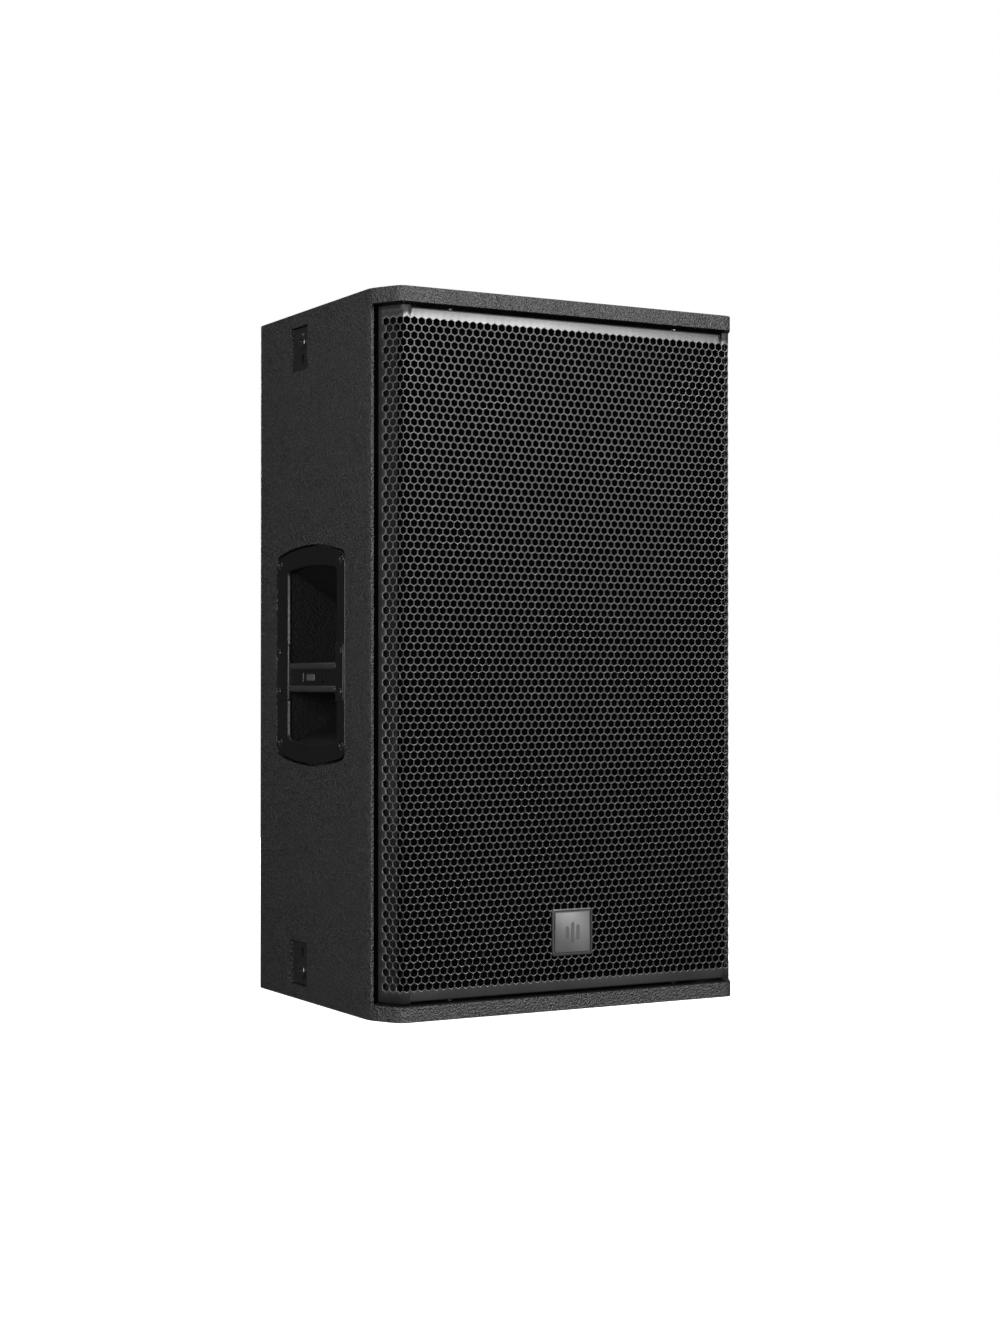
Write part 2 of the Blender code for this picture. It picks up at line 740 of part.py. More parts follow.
def rigging_plate(name, side, end, way, finish):
    """A steel plate on the pocket's floor, with a bolt hole and a keyhole for a pin."""
    floor = side * (WIDTH / 2 - RIGGING_DEEP + GAP)
    face = floor + side * RIGGING_PLATE
    start = end + way * RIGGING_MARGIN
    stop = end + way * (RIGGING_TALL - RIGGING_MARGIN)
    outline = arched(RIGGING_FRONT + RIGGING_MARGIN, RIGGING_REAR - RIGGING_MARGIN,
                     min(start, stop), max(start, stop), 0.0, 0.0, 1)
    plate = prism(name, outline, "X", floor, face, finish)
    keyhole = end + way * (KEYHOLE_FROM_END - WALL)
    holes = [(BOLT_Y, end + way * (BOLT_FROM_END - WALL), clearance(BOLT_RADIUS))]
    cut(plate, pegs(f"{name}_bolt_hole", "X", floor - side * WALL, face + side * WALL, holes))
    slot = [(BOLT_Y + a, keyhole + b) for a, b in oval(KEYHOLE_RADIUS, KEYHOLE_SLOT, 3.0, SMALL_ROUND)]
    cut(plate, prism(f"{name}_keyhole", slot, "X", floor - side * WALL, face + side * WALL, None))
    return plate


def rigging_bolt(name, side, end, way, finish):
    """M10 screw. Its head bears on the plate, and its shank goes through the panel."""
    seat = side * (WIDTH / 2 - RIGGING_DEEP + RIGGING_PLATE + 2 * GAP)
    top = seat + side * BOLT_HEAD_TALL
    tip = seat - side * BOLT_LENGTH
    profile = [(0.0, tip), (BOLT_RADIUS, tip), (BOLT_RADIUS, seat), (BOLT_HEAD_RADIUS, seat),
               (BOLT_HEAD_RADIUS * 0.9, top), (0.0, top)]
    return turned(name, profile, (0.0, BOLT_Y, end + way * (BOLT_FROM_END - WALL)), "X", SMALL_ROUND, finish)


# Pole socket

def bottom_panel(finish):
    panel = end_panel("bottom_panel", WALL, 0.0, finish)
    spot = (0.0, POLE_Y)
    flange = clearance(POLE_FLANGE_RADIUS, MEDIUM_ROUND)
    tube = clearance(POLE_BORE + POLE_WALL, MEDIUM_ROUND)
    rebate = pegs("pole_rebate", "Z", -WALL, POLE_FLANGE + GAP, [(*spot, flange)], MEDIUM_ROUND)
    hole = pegs("pole_hole", "Z", -WALL, 2 * WALL, [(*spot, tube)], MEDIUM_ROUND)
    cut(panel, rebate)
    cut(panel, hole)
    return panel


def pole_socket(finish):
    """A blind steel cup for a 35 mm pole, flush with the underside."""
    outer = POLE_BORE + POLE_WALL
    profile = [(POLE_BORE, GAP), (POLE_FLANGE_RADIUS, GAP), (POLE_FLANGE_RADIUS, POLE_FLANGE),
               (outer, POLE_FLANGE), (outer, POLE_TALL), (0.0, POLE_TALL), (0.0, POLE_TALL - POLE_WALL),
               (POLE_BORE, POLE_TALL - POLE_WALL)]
    return turned("pole_socket", profile, (0.0, POLE_Y, 0.0), "Z", MEDIUM_ROUND, finish)


# Amplifier

def amplifier_plate(finish):
    plate = block("amplifier_plate", (-PLATE_HALF_WIDTH, PLATE_BACK, PLATE_LOW),
                  (PLATE_HALF_WIDTH, PLATE_FACE, PLATE_HIGH), finish)
    socket = clearance(SOCKET_BODY)
    holes = [
        (INPUT_X, SOCKET_ROW, socket),
        (LINK_X, SOCKET_ROW, socket),
        (POWER_IN_X, POWER_ROW, socket),
        (POWER_OUT_X, POWER_ROW, socket),
        (KNOB_X, CONTROL_ROW, clearance(SHAFT_RADIUS)),
        (BUTTON_X, CONTROL_ROW, clearance(BUTTON_RADIUS)),
        (LIGHT_X, CONTROL_ROW, clearance(LIGHT_RADIUS)),
    ]
    cut(plate, pegs("plate_round_holes", "Y", PLATE_BACK - WALL, PLATE_FACE + WALL, holes))
    half_x, half_z = rocker_body()
    window = block("plate_rocker_hole", (ROCKER_X - half_x - GAP, PLATE_BACK - WALL, POWER_ROW - half_z - GAP),
                   (ROCKER_X + half_x + GAP, PLATE_FACE + WALL, POWER_ROW + half_z + GAP), None)
    cut(plate, window)
    return plate


def heat_sink(finish):
    """A comb of upright fins on a base plate."""
    base = PLATE_FACE + GAP
    root = base + SINK_BASE
    tip = base + SINK_DEEP
    pitch = (2 * SINK_HALF_WIDTH - SINK_FIN_THICK) / (SINK_FINS - 1)
    outline = [(SINK_HALF_WIDTH, base), (-SINK_HALF_WIDTH, base)]
    for fin in range(SINK_FINS):
        near = -SINK_HALF_WIDTH + fin * pitch
        far = near + SINK_FIN_THICK
        if fin > 0:
            outline.append((near, root))
        outline.append((near, tip))
        outline.append((far, tip))
        if fin < SINK_FINS - 1:
            outline.append((far, root))
    return prism("heat_sink", outline, "Z", SINK_LOW, SINK_HIGH, finish)


def circuit_board(name, low_z, high_z, parts, finish):
    """A board behind the plate with its tall components, each an (x, z, radius, height)."""
    half = PLATE_HALF_WIDTH - 2 * PLATE_LIP
    face = REAR_FACE - 0.035
    back = face - 0.002
    board = block(name, (-half, back, low_z), (half, face, high_z), finish)
    for index, (x, z, radius, tall) in enumerate(parts):
        part = pegs(f"{name}_part_{index}", "Y", face - 0.001, face + tall, [(x, z, radius)], 12)
        join(board, part)
    return board


def socket(name, x, z, bore, finish):
    """A panel connector: a square flange, a round body behind it and a blind bore."""
    count = MEDIUM_ROUND
    face = PLATE_FACE + GAP + SOCKET_FLANGE
    seat = PLATE_FACE + GAP
    rings = [
        oval_ring("Y", face - SOCKET_DEEP, bore, bore, 2.0, count),
        oval_ring("Y", face, bore, bore, 2.0, count),
        oval_ring("Y", face, SOCKET_FLANGE_X, SOCKET_FLANGE_Z, 9.0, count),
        oval_ring("Y", seat, SOCKET_FLANGE_X, SOCKET_FLANGE_Z, 9.0, count),
        oval_ring("Y", seat, SOCKET_BODY, SOCKET_BODY, 2.0, count),
        oval_ring("Y", face - SOCKET_LONG, SOCKET_BODY, SOCKET_BODY, 2.0, count),
    ]
    return smooth(loft(name, rings, finish, False, (x, 0.0, z)))


def input_latch(finish):
    """The release tab above the input's bore. It is pushed in along -Y."""
    half_x = 0.0035
    half_z = 0.0018
    back = PLATE_FACE + GAP + 0.0013
    tab = prism("input_latch", [(-half_x, -half_z), (half_x, -half_z), (half_x, half_z), (-half_x, half_z)],
                "Y", 0.0, 0.0040, finish, (INPUT_X, back, SOCKET_ROW + LATCH_ABOVE))
    return tab


def input_socket(finish):
    made = socket("input_socket", INPUT_X, SOCKET_ROW, SOCKET_BORE, finish)
    clear_x = 0.0038
    clear_z = 0.0021
    slot = block("input_latch_slot",
                 (INPUT_X - clear_x, PLATE_FACE + GAP / 2, SOCKET_ROW + LATCH_ABOVE - clear_z),
                 (INPUT_X + clear_x, PLATE_FACE + WALL, SOCKET_ROW + LATCH_ABOVE + clear_z), None)
    cut(made, slot)
    return made


def level_knob(finish):
    """The knob with its shaft. Zero is the pointer straight up."""
    start = 0.0006
    reach = -0.014
    profile = [(0.0, reach), (SHAFT_RADIUS, reach), (SHAFT_RADIUS, start), (KNOB_RADIUS, start),
               (KNOB_RADIUS, start + 0.003), (KNOB_RADIUS * 0.85, start + KNOB_TALL - 0.001),
               (KNOB_RADIUS * 0.75, start + KNOB_TALL), (0.0, start + KNOB_TALL)]
    return turned("level_knob", profile, (KNOB_X, PLATE_FACE, CONTROL_ROW), "Y", MEDIUM_ROUND, finish)


def preset_button(finish):
    """A momentary button, pushed in along -Y."""
    profile = [(0.0, -0.008), (BUTTON_RADIUS, -0.008), (BUTTON_RADIUS, BUTTON_TALL - 0.0006),
               (BUTTON_RADIUS - 0.0006, BUTTON_TALL), (0.0, BUTTON_TALL)]
    return turned("preset_button", profile, (BUTTON_X, PLATE_FACE, CONTROL_ROW), "Y", SMALL_ROUND, finish)


def status_light(finish):
    profile = [(0.0, -0.004), (LIGHT_RADIUS, -0.004), (LIGHT_RADIUS, 0.0010),
               (LIGHT_RADIUS * 0.6, 0.0018), (0.0, 0.0020)]
    return turned("status_light", profile, (LIGHT_X, PLATE_FACE, CONTROL_ROW), "Y", SMALL_ROUND, finish)


def rocker_body():
    """Half width and half height of the switch housing's body."""
    wall = 0.0010
    return (ROCKER_HALF_WIDTH + GAP + wall, ROCKER_HALF_TALL + ROCKER_CLEAR + wall)


def rocker_housing(finish):
    seat = PLATE_FACE + GAP
    face = seat + 0.0015
    bottom = seat - 0.012
    hole_x = ROCKER_HALF_WIDTH + GAP
    hole_z = ROCKER_HALF_TALL + ROCKER_CLEAR
    body_x, body_z = rocker_body()

    def ring(along, half_x, half_z):
        return [(-half_x, along, -half_z), (half_x, along, -half_z), (half_x, along, half_z),
                (-half_x, along, half_z)]

    rings = [ring(bottom, hole_x, hole_z), ring(face, hole_x, hole_z), ring(face, ROCKER_FLANGE_X, ROCKER_FLANGE_Z),
             ring(seat, ROCKER_FLANGE_X, ROCKER_FLANGE_Z), ring(seat, body_x, body_z),
             ring(bottom - 0.001, body_x, body_z)]
    return loft("power_rocker_housing", rings, finish, False, (ROCKER_X, 0.0, POWER_ROW))


def power_rocker(finish):
    """A rocker that tips about an axis along X. At rest it is level."""
    half = ROCKER_HALF_TALL
    outline = [(-0.0040, -0.0080), (0.0042, -half), (0.0030, 0.0), (0.0042, half), (-0.0040, 0.0080)]
    return prism("power_rocker", outline, "X", -ROCKER_HALF_WIDTH, ROCKER_HALF_WIDTH, finish,
                 (ROCKER_X, PLATE_FACE, POWER_ROW))


# The whole object

def build_cabinet():
    paint = make_material("textured_paint", (0.022, 0.022, 0.023), 0.62)
    plywood = make_material("painted_plywood", (0.018, 0.018, 0.018), 0.75)
    end_panel("top_panel", HEIGHT - WALL, HEIGHT, paint)
    bottom_panel(paint)
    for name, side in SIDES:
        side_panel(f"{name}_side_panel", side, paint)
        rear_facet_panel(f"{name}_rear_facet_panel", side, paint)
    rear_panel(paint)
    front_baffle(plywood)


def build_front():
    steel = make_material("grille_steel", (0.060, 0.060, 0.062), 0.45, 0.3)
    foam = make_material("acoustic_foam", (0.010, 0.010, 0.010), 0.95)
    screw = make_material("black_screw", (0.050, 0.050, 0.050), 0.35, 0.8)
    badge = make_material("badge_plate", (0.130, 0.130, 0.130), 0.40, 0.2)
    grille(steel)
    grille_foam(foam)
    grille_screws(screw)
    front_badge(badge)


def build_drivers():
    cast = make_material("cast_basket", (0.040, 0.040, 0.042), 0.55, 0.6)
    paper = make_material("cone_paper", (0.020, 0.020, 0.020), 0.85)
    rubber = make_material("surround_cloth", (0.012, 0.012, 0.012), 0.80)
    copper = make_material("voice_coil", (0.450, 0.200, 0.100), 0.40, 0.9)
    resin = make_material("spider_cloth", (0.300, 0.180, 0.060), 0.85)
    steel = make_material("plated_steel", (0.350, 0.350, 0.360), 0.40, 1.0)
    ferrite = make_material("ferrite", (0.045, 0.045, 0.045), 0.60)
    foil = make_material("titanium_foil", (0.500, 0.500, 0.520), 0.30, 1.0)
    plastic = make_material("horn_plastic", (0.015, 0.015, 0.015), 0.50)
    woofer_basket(cast)
    woofer_surround(rubber)
    woofer_cone(paper)
    woofer_dust_cap(paper)
    woofer_voice_coil(copper)
    woofer_spider(resin)
    woofer_motor(steel, ferrite)
    horn(plastic)
    hf_driver(steel, foil, plastic)
    reflex_ports(plastic)


def build_hardware():
    cast = make_material("handle_casting", (0.015, 0.015, 0.015), 0.45, 0.1)
    plastic = make_material("cup_plastic", (0.012, 0.012, 0.012), 0.70)
    badge = make_material("nameplate", (0.060, 0.060, 0.060), 0.35, 0.3)
    steel = make_material("rigging_steel", (0.030, 0.030, 0.030), 0.40, 0.8)
    for name, side in SIDES:
        handle_frame(f"{name}_handle_frame", side, cast)
        handle_cup(f"{name}_handle_cup", side, plastic)
        handle_nameplate(f"{name}_handle_nameplate", side, badge)
        for level, end, way in rigging_levels():
            rigging_plate(f"{name}_{level}_rigging_plate", side, end, way, steel)
            rigging_bolt(f"{name}_{level}_rigging_bolt", side, end, way, steel)
    pole_socket(steel)


def build_amplifier():
    plate = make_material("amplifier_aluminium", (0.030, 0.030, 0.032), 0.45, 0.5)
    board = make_material("circuit_board", (0.020, 0.110, 0.040), 0.50)
    plastic = make_material("connector_plastic", (0.020, 0.020, 0.020), 0.45)
    blue = make_material("power_in_plastic", (0.030, 0.090, 0.400), 0.45)
    light = make_material("status_lens", (0.050, 0.500, 0.080), 0.20)
    metal = make_material("nickel", (0.550, 0.550, 0.540), 0.30, 1.0)
    power_bore = 0.0100
    amplifier_plate(plate)
    heat_sink(plate)
    circuit_board("amplifier_board", 0.385, 0.560, [
        (-0.050, 0.520, 0.014, 0.024), (0.000, 0.520, 0.014, 0.024), (0.050, 0.450, 0.018, 0.018)], board)
    circuit_board("power_supply_board", 0.150, 0.370, [
        (-0.055, 0.240, 0.010, 0.010), (0.030, 0.235, 0.020, 0.022), (0.055, 0.310, 0.014, 0.028)], board)
    input_socket(metal)
    socket("link_socket", LINK_X, SOCKET_ROW, SOCKET_BORE, metal)
    socket("power_inlet", POWER_IN_X, POWER_ROW, power_bore, blue)
    socket("power_outlet", POWER_OUT_X, POWER_ROW, power_bore, plastic)
    input_latch(metal)
    level_knob(plastic)
    preset_button(plastic)
    status_light(light)
    rocker_housing(plastic)
    power_rocker(plastic)


clear_scene()
build_cabinet()
build_front()
build_drivers()
build_hardware()
build_amplifier()
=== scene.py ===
"""Looks of the stage loudspeaker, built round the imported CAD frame. Metres, +Z up, the grille faces -Y."""
import math

import bmesh
import bpy
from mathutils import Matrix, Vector


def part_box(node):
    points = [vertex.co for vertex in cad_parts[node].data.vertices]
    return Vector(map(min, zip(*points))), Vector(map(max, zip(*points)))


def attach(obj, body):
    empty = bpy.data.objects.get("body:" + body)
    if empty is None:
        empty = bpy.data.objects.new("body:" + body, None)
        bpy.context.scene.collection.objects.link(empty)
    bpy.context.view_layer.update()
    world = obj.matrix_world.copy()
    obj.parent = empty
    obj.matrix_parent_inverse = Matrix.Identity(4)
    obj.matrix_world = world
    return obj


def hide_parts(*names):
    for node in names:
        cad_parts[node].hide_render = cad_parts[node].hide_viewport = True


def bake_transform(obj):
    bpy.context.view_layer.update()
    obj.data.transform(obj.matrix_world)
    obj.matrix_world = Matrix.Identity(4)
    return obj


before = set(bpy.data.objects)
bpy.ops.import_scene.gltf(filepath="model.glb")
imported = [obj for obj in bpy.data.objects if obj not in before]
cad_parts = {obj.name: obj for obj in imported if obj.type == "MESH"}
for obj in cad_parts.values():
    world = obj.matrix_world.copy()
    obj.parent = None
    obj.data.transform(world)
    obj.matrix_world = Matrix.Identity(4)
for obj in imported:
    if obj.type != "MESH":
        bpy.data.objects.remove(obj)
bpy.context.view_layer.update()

# Places that come from the frame
TOP_LOW, TOP_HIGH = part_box("top_panel")
SIDE_LOW, SIDE_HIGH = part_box("right_side_panel")
FACET_LOW, FACET_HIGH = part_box("right_rear_facet_panel")
FRONT = TOP_LOW.y
REAR = TOP_HIGH.y
HEIGHT = TOP_HIGH.z
WALL = TOP_HIGH.z - TOP_LOW.z
HALF_WIDTH = TOP_HIGH.x
SIDE_FRONT = SIDE_LOW.y
SIDE_REAR = SIDE_HIGH.y

# Sizes the boxes don't hold, as in the CAD model
FRONT_HALF = 0.191
REAR_HALF = 0.1335
SIDE_LIP = 0.004
SIDE_REBATE = 0.010
EDGE_ROUND = 0.0032
CORNER_ROUND = 0.008
GAP = 0.0003
MILLIMETRE = 0.001
SIDES = (("left", -1), ("right", 1))

# Camera
LENS = 61.2
CAMERA_AT = (-1.149, FRONT - 1.9155, 0.3274)
CAMERA_TURN = 29.1
CAMERA_TILT = 0.51


# Mesh tools

def add_mesh(name, shape, finish=None, smooth_angle=35.0):
    """Make a bmesh into a named object with outward faces and soft shading below an angle."""
    bmesh.ops.recalc_face_normals(shape, faces=shape.faces)
    mesh = bpy.data.meshes.new(name)
    shape.to_mesh(mesh)
    shape.free()
    if finish:
        mesh.materials.append(finish)
    mesh.shade_smooth()
    mesh.set_sharp_from_angle(angle=math.radians(smooth_angle))
    made = bpy.data.objects.new(name, mesh)
    bpy.context.scene.collection.objects.link(made)
    return made


def place(axis, first, second, along):
    """A point from two coordinates across an axis and one along it, in X, Y, Z order."""
    if axis == "X":
        return Vector((along, first, second))
    if axis == "Y":
        return Vector((first, along, second))
    return Vector((first, second, along))


def prism(name, outline, axis, start, stop, finish=None):
    shape = bmesh.new()
    corners = [shape.verts.new(place(axis, a, b, start)) for a, b in outline]
    base = shape.faces.new(corners)
    grown = bmesh.ops.extrude_face_region(shape, geom=[base])
    moved = [item for item in grown["geom"] if isinstance(item, bmesh.types.BMVert)]
    bmesh.ops.translate(shape, verts=moved, vec=place(axis, 0.0, 0.0, stop - start))
    return add_mesh(name, shape, finish)


def rectangle(a_low, a_high, b_low, b_high):
    return [(a_low, b_low), (a_high, b_low), (a_high, b_high), (a_low, b_high)]


def skin(name, rings, finish=None, closed=False, smooth_angle=35.0):
    """Skin a chain of rings. An open chain is capped at both ends."""
    shape = bmesh.new()
    loops = [[shape.verts.new(point) for point in ring] for ring in rings]
    pairs = list(zip(loops, loops[1:]))
    if closed:
        pairs.append((loops[-1], loops[0]))
    for lower, upper in pairs:
        for index in range(len(lower)):
            following = (index + 1) % len(lower)
            shape.faces.new((lower[index], lower[following], upper[following], upper[index]))
    if not closed:
        shape.faces.new(loops[0])
        shape.faces.new(loops[-1])
    return add_mesh(name, shape, finish, smooth_angle)


def circle(axis, across, up, along, radius, count=32, turn=0.0):
    """One ring of points about an axis."""
    points = []
    for index in range(count):
        angle = math.tau * index / count + turn
        points.append(place(axis, across + radius * math.cos(angle), up + radius * math.sin(angle), along))
    return points


def rounded_ring(axis, across, up, along, half_a, half_b, corner, steps=4):
    """One ring of points on a rectangle with round corners."""
    points = []
    corners = ((1, 1, 0.0), (-1, 1, 0.25), (-1, -1, 0.5), (1, -1, 0.75))
    for sign_a, sign_b, start in corners:
        for step in range(steps + 1):
            angle = math.tau * (start + 0.25 * step / steps)
            a = sign_a * (half_a - corner) + corner * math.cos(angle)
            b = sign_b * (half_b - corner) + corner * math.sin(angle)
            points.append(place(axis, across + a, up + b, along))
    return points


def bevelled(item, width, segments=2, angle=30.0, weighted=False):
    step = item.modifiers.new("round_edges", "BEVEL")
    step.width = width
    step.segments = segments
    step.limit_method = "WEIGHT" if weighted else "ANGLE"
    step.angle_limit = math.radians(angle)
    step.harden_normals = True
    return item


def carve(target, tools, operation="DIFFERENCE"):
    """Cut tools out of a mesh, or join them to it, and drop the tools."""
    for tool in tools:
        step = target.modifiers.new("carve", "BOOLEAN")
        step.operation = operation
        step.solver = "EXACT"
        step.object = tool
    bake(target)
    for tool in tools:
        bpy.data.objects.remove(tool, do_unlink=True)
    return target


def bake(item):
    """Apply a piece's modifiers."""
    bpy.context.view_layer.update()
    graph = bpy.context.evaluated_depsgraph_get()
    mesh = bpy.data.meshes.new_from_object(item.evaluated_get(graph))
    item.modifiers.clear()
    item.data = mesh
    return item


def mirrored(points, side):
    return [(side * a, b) for a, b in points]


def fasten(item, body="cabinet", replaces=()):
    """Ride on a body and stand for CAD nodes."""
    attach(item, body)
    if replaces:
        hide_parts(*replaces)
    return item


# Materials

class Surface:
    """A Principled material with helpers for layered noise in its colour, roughness and relief."""

    def __init__(self, name, colour, roughness, metallic=0.0, specular=0.5):
        self.material = bpy.data.materials.new(name)
        self.material.use_nodes = True
        self.tree = self.material.node_tree
        self.shader = self.tree.nodes["Principled BSDF"]
        self.shader.inputs["Base Color"].default_value = (*colour, 1.0)
        self.shader.inputs["Roughness"].default_value = roughness
        self.shader.inputs["Metallic"].default_value = metallic
        self.shader.inputs["Specular IOR Level"].default_value = specular
        self.colour = colour
        self.roughness = roughness
        self.where = self.node("ShaderNodeTexCoord").outputs["Object"]
        self.height = None

    def node(self, kind):
        return self.tree.nodes.new(kind)

    def link(self, start, end):
        self.tree.links.new(start, end)

    def noise(self, scale, detail=2.0, stretch=(1.0, 1.0, 1.0)):
        """Noise of features about 1 / scale metres across."""
        mapping = self.node("ShaderNodeMapping")
        mapping.inputs["Scale"].default_value = stretch
        texture = self.node("ShaderNodeTexNoise")
        texture.inputs["Scale"].default_value = scale
        texture.inputs["Detail"].default_value = detail
        self.link(self.where, mapping.inputs["Vector"])
        self.link(mapping.outputs["Vector"], texture.inputs["Vector"])
        return texture.outputs["Fac"]

    def cells(self, scale):
        texture = self.node("ShaderNodeTexVoronoi")
        texture.inputs["Scale"].default_value = scale
        self.link(self.where, texture.inputs["Vector"])
        return texture.outputs["Distance"]

    def ramp(self, source, low, high, colour_low, colour_high):
        """Colours between two values of a source."""
        made = self.node("ShaderNodeValToRGB")
        made.color_ramp.elements[0].position = low
        made.color_ramp.elements[0].color = (*colour_low, 1.0)
        made.color_ramp.elements[1].position = high
        made.color_ramp.elements[1].color = (*colour_high, 1.0)
        self.link(source, made.inputs["Fac"])
        return made.outputs["Color"]

    def mottle(self, scale, amount, detail=3.0, stretch=(1.0, 1.0, 1.0)):
        """Vary the colour by a share of itself, up and down."""
        dark = [channel * (1.0 - amount) for channel in self.colour]
        light = [channel * (1.0 + amount) for channel in self.colour]
        source = self.noise(scale, detail, stretch)
        self.link(self.ramp(source, 0.32, 0.68, dark, light), self.shader.inputs["Base Color"])
        return self

    def wear(self, scale, spread):
        """Vary the roughness by a spread, up and down."""
        change = self.node("ShaderNodeMapRange")
        change.inputs["From Min"].default_value = 0.3
        change.inputs["From Max"].default_value = 0.7
        change.inputs["To Min"].default_value = max(self.roughness - spread, 0.02)
        change.inputs["To Max"].default_value = min(self.roughness + spread, 1.0)
        self.link(self.noise(scale, 3.0), change.inputs["Value"])
        self.link(change.outputs["Result"], self.shader.inputs["Roughness"])
        return self

    def relief(self, source, depth, strength=1.0):
        """Add one layer of bumps, a depth in metres deep."""
        bump = self.node("ShaderNodeBump")
        bump.inputs["Strength"].default_value = strength
        bump.inputs["Distance"].default_value = depth
        self.link(source, bump.inputs["Height"])
        if self.height:
            self.link(self.height, bump.inputs["Normal"])
        self.height = bump.outputs["Normal"]
        self.link(self.height, self.shader.inputs["Normal"])
        return self


def textured_paint():
    """Hard two-part coating sprayed on plywood: an even orange-peel grain, slightly blotchy."""
    paint = Surface("textured_paint", (0.0110, 0.0110, 0.0113), 0.42)
    paint.mottle(430.0, 0.75, 2.0).wear(430.0, 0.10)
    paint.relief(paint.noise(190.0, 2.0), 0.0003, 0.6)
    paint.relief(paint.noise(500.0, 2.5), 0.0022, 1.0)
    return paint.material


def plain_black(name, shade, roughness, grain=900.0, depth=0.00006, metallic=0.0, specular=0.5):
    """Moulded or powder-coated black with a fine even grain."""
    black = Surface(name, (shade, shade, shade * 1.03), roughness, metallic, specular)
    black.mottle(60.0, 0.12).wear(25.0, 0.05)
    black.relief(black.noise(grain, 2.0), depth)
    return black.material


def grille_paint():
    """Satin powder coat on the perforated steel."""
    coat = Surface("grille_paint", (0.015, 0.015, 0.0155), 0.31)
    coat.mottle(30.0, 0.15).wear(14.0, 0.06)
    coat.relief(coat.noise(1400.0, 2.0), 0.00004)
    return coat.material


def foam():
    cells = Surface("foam", (0.0012, 0.0012, 0.0012), 0.95, 0.0, 0.0)
    cells.mottle(400.0, 0.5)
    cells.relief(cells.cells(700.0), 0.0008)
    return cells.material


def metal(name, colour, roughness, grain=(1.0, 1.0, 1.0), scale=500.0):
    """Bare or plated metal. The grain stretches its brush marks."""
    bare = Surface(name, colour, roughness, 1.0)
    bare.mottle(scale, 0.10, 3.0, grain).wear(30.0, 0.06)
    bare.relief(bare.noise(scale * 1.5, 2.0, grain), 0.00002)
    return bare.material


def plywood_black():
    wood = Surface("painted_plywood", (0.010, 0.010, 0.010), 0.7)
    wood.mottle(40.0, 0.3, 4.0, (1.0, 1.0, 0.15))
    wood.relief(wood.noise(120.0, 4.0, (1.0, 1.0, 0.08)), 0.0002)
    return wood.material


def paper():
    pulp = Surface("cone_paper", (0.016, 0.016, 0.016), 0.85)
    pulp.mottle(220.0, 0.35, 4.0)
    pulp.relief(pulp.noise(420.0, 4.0), 0.0003)
    return pulp.material


def woven(name, colour):
    """Treated cloth: two crossed waves."""
    cloth = Surface(name, colour, 0.8)
    cloth.mottle(90.0, 0.2)
    for axis in ("X", "Z"):
        wave = cloth.node("ShaderNodeTexWave")
        wave.bands_direction = axis
        wave.inputs["Scale"].default_value = 320.0
        cloth.link(cloth.where, wave.inputs["Vector"])
        cloth.relief(wave.outputs["Fac"], 0.00012)
    return cloth.material


def board_green():
    board = Surface("circuit_board", (0.015, 0.090, 0.035), 0.4)
    board.mottle(260.0, 0.3, 1.0, (1.0, 1.0, 0.2))
    board.relief(board.noise(600.0, 1.0, (0.2, 1.0, 1.0)), 0.00005)
    return board.material


def lamp_green():
    lens = Surface("status_lens", (0.04, 0.45, 0.08), 0.15)
    lens.mottle(300.0, 0.1)
    lens.shader.inputs["Emission Color"].default_value = (0.05, 0.9, 0.15, 1.0)
    lens.shader.inputs["Emission Strength"].default_value = 0.6
    return lens.material


def print_white():
    ink = Surface("panel_print", (0.55, 0.55, 0.55), 0.6)
    ink.mottle(700.0, 0.08)
    return ink.material


PAINT = textured_paint()
GRILLE_COAT = grille_paint()
FOAM = foam()
PLYWOOD = plywood_black()
CAST = plain_black("handle_coat", 0.0024, 0.36, 1200.0, 0.00005, specular=0.34)
BAR_COAT = plain_black("grip_coat", 0.016, 0.40, 900.0, 0.00008)
# The handle cups are moulded black; their colour is darkened further as painted shade for the recess behind the grips.
CUP_WITH_SHADE = plain_black("cup_grain_and_shade", 0.0022, 0.62, 520.0, 0.0012, specular=0.20)
LABEL = plain_black("label_grey", 0.045, 0.45)
PLASTIC = plain_black("moulded_plastic", 0.016, 0.45)
HORN = plain_black("horn_plastic", 0.012, 0.5)
DARK_STEEL = plain_black("dark_steel", 0.020, 0.36, 700.0, 0.00003, 0.6)
SCREW = plain_black("screw_black", 0.045, 0.24, 900.0, 0.00002, 0.8)
BADGE = plain_black("badge_grey", 0.036, 0.48, 700.0, 0.00004)
BASKET = plain_black("basket_coat", 0.030, 0.5, 500.0, 0.0001)
PAPER = paper()
SURROUND = woven("surround_cloth", (0.010, 0.010, 0.010))
SPIDER = woven("spider_cloth", (0.300, 0.170, 0.050))
COPPER = metal("voice_coil_wire", (0.55, 0.25, 0.12), 0.35, (1.0, 0.02, 1.0))
STEEL = metal("zinc_steel", (0.42, 0.42, 0.43), 0.38)
NICKEL = metal("nickel", (0.56, 0.55, 0.53), 0.30)
FERRITE = plain_black("ferrite", 0.030, 0.6, 300.0, 0.0001)
FOIL = metal("titanium_foil", (0.45, 0.45, 0.47), 0.28)
ANODISED = plain_black("anodised", 0.022, 0.40, 1500.0, 0.00002, 0.5)
BOARD = board_green()
BLUE = Surface("power_blue", (0.02, 0.07, 0.32), 0.4).mottle(80.0, 0.1).material
LENS_GREEN = lamp_green()
INK = print_white()


# Cabinet shell

def plan_corners():
    """Right-hand corners of the cabinet's plan, from the front to the rear."""
    return [(FRONT_HALF, FRONT), (HALF_WIDTH, SIDE_FRONT), (HALF_WIDTH, SIDE_REAR), (REAR_HALF, REAR)]


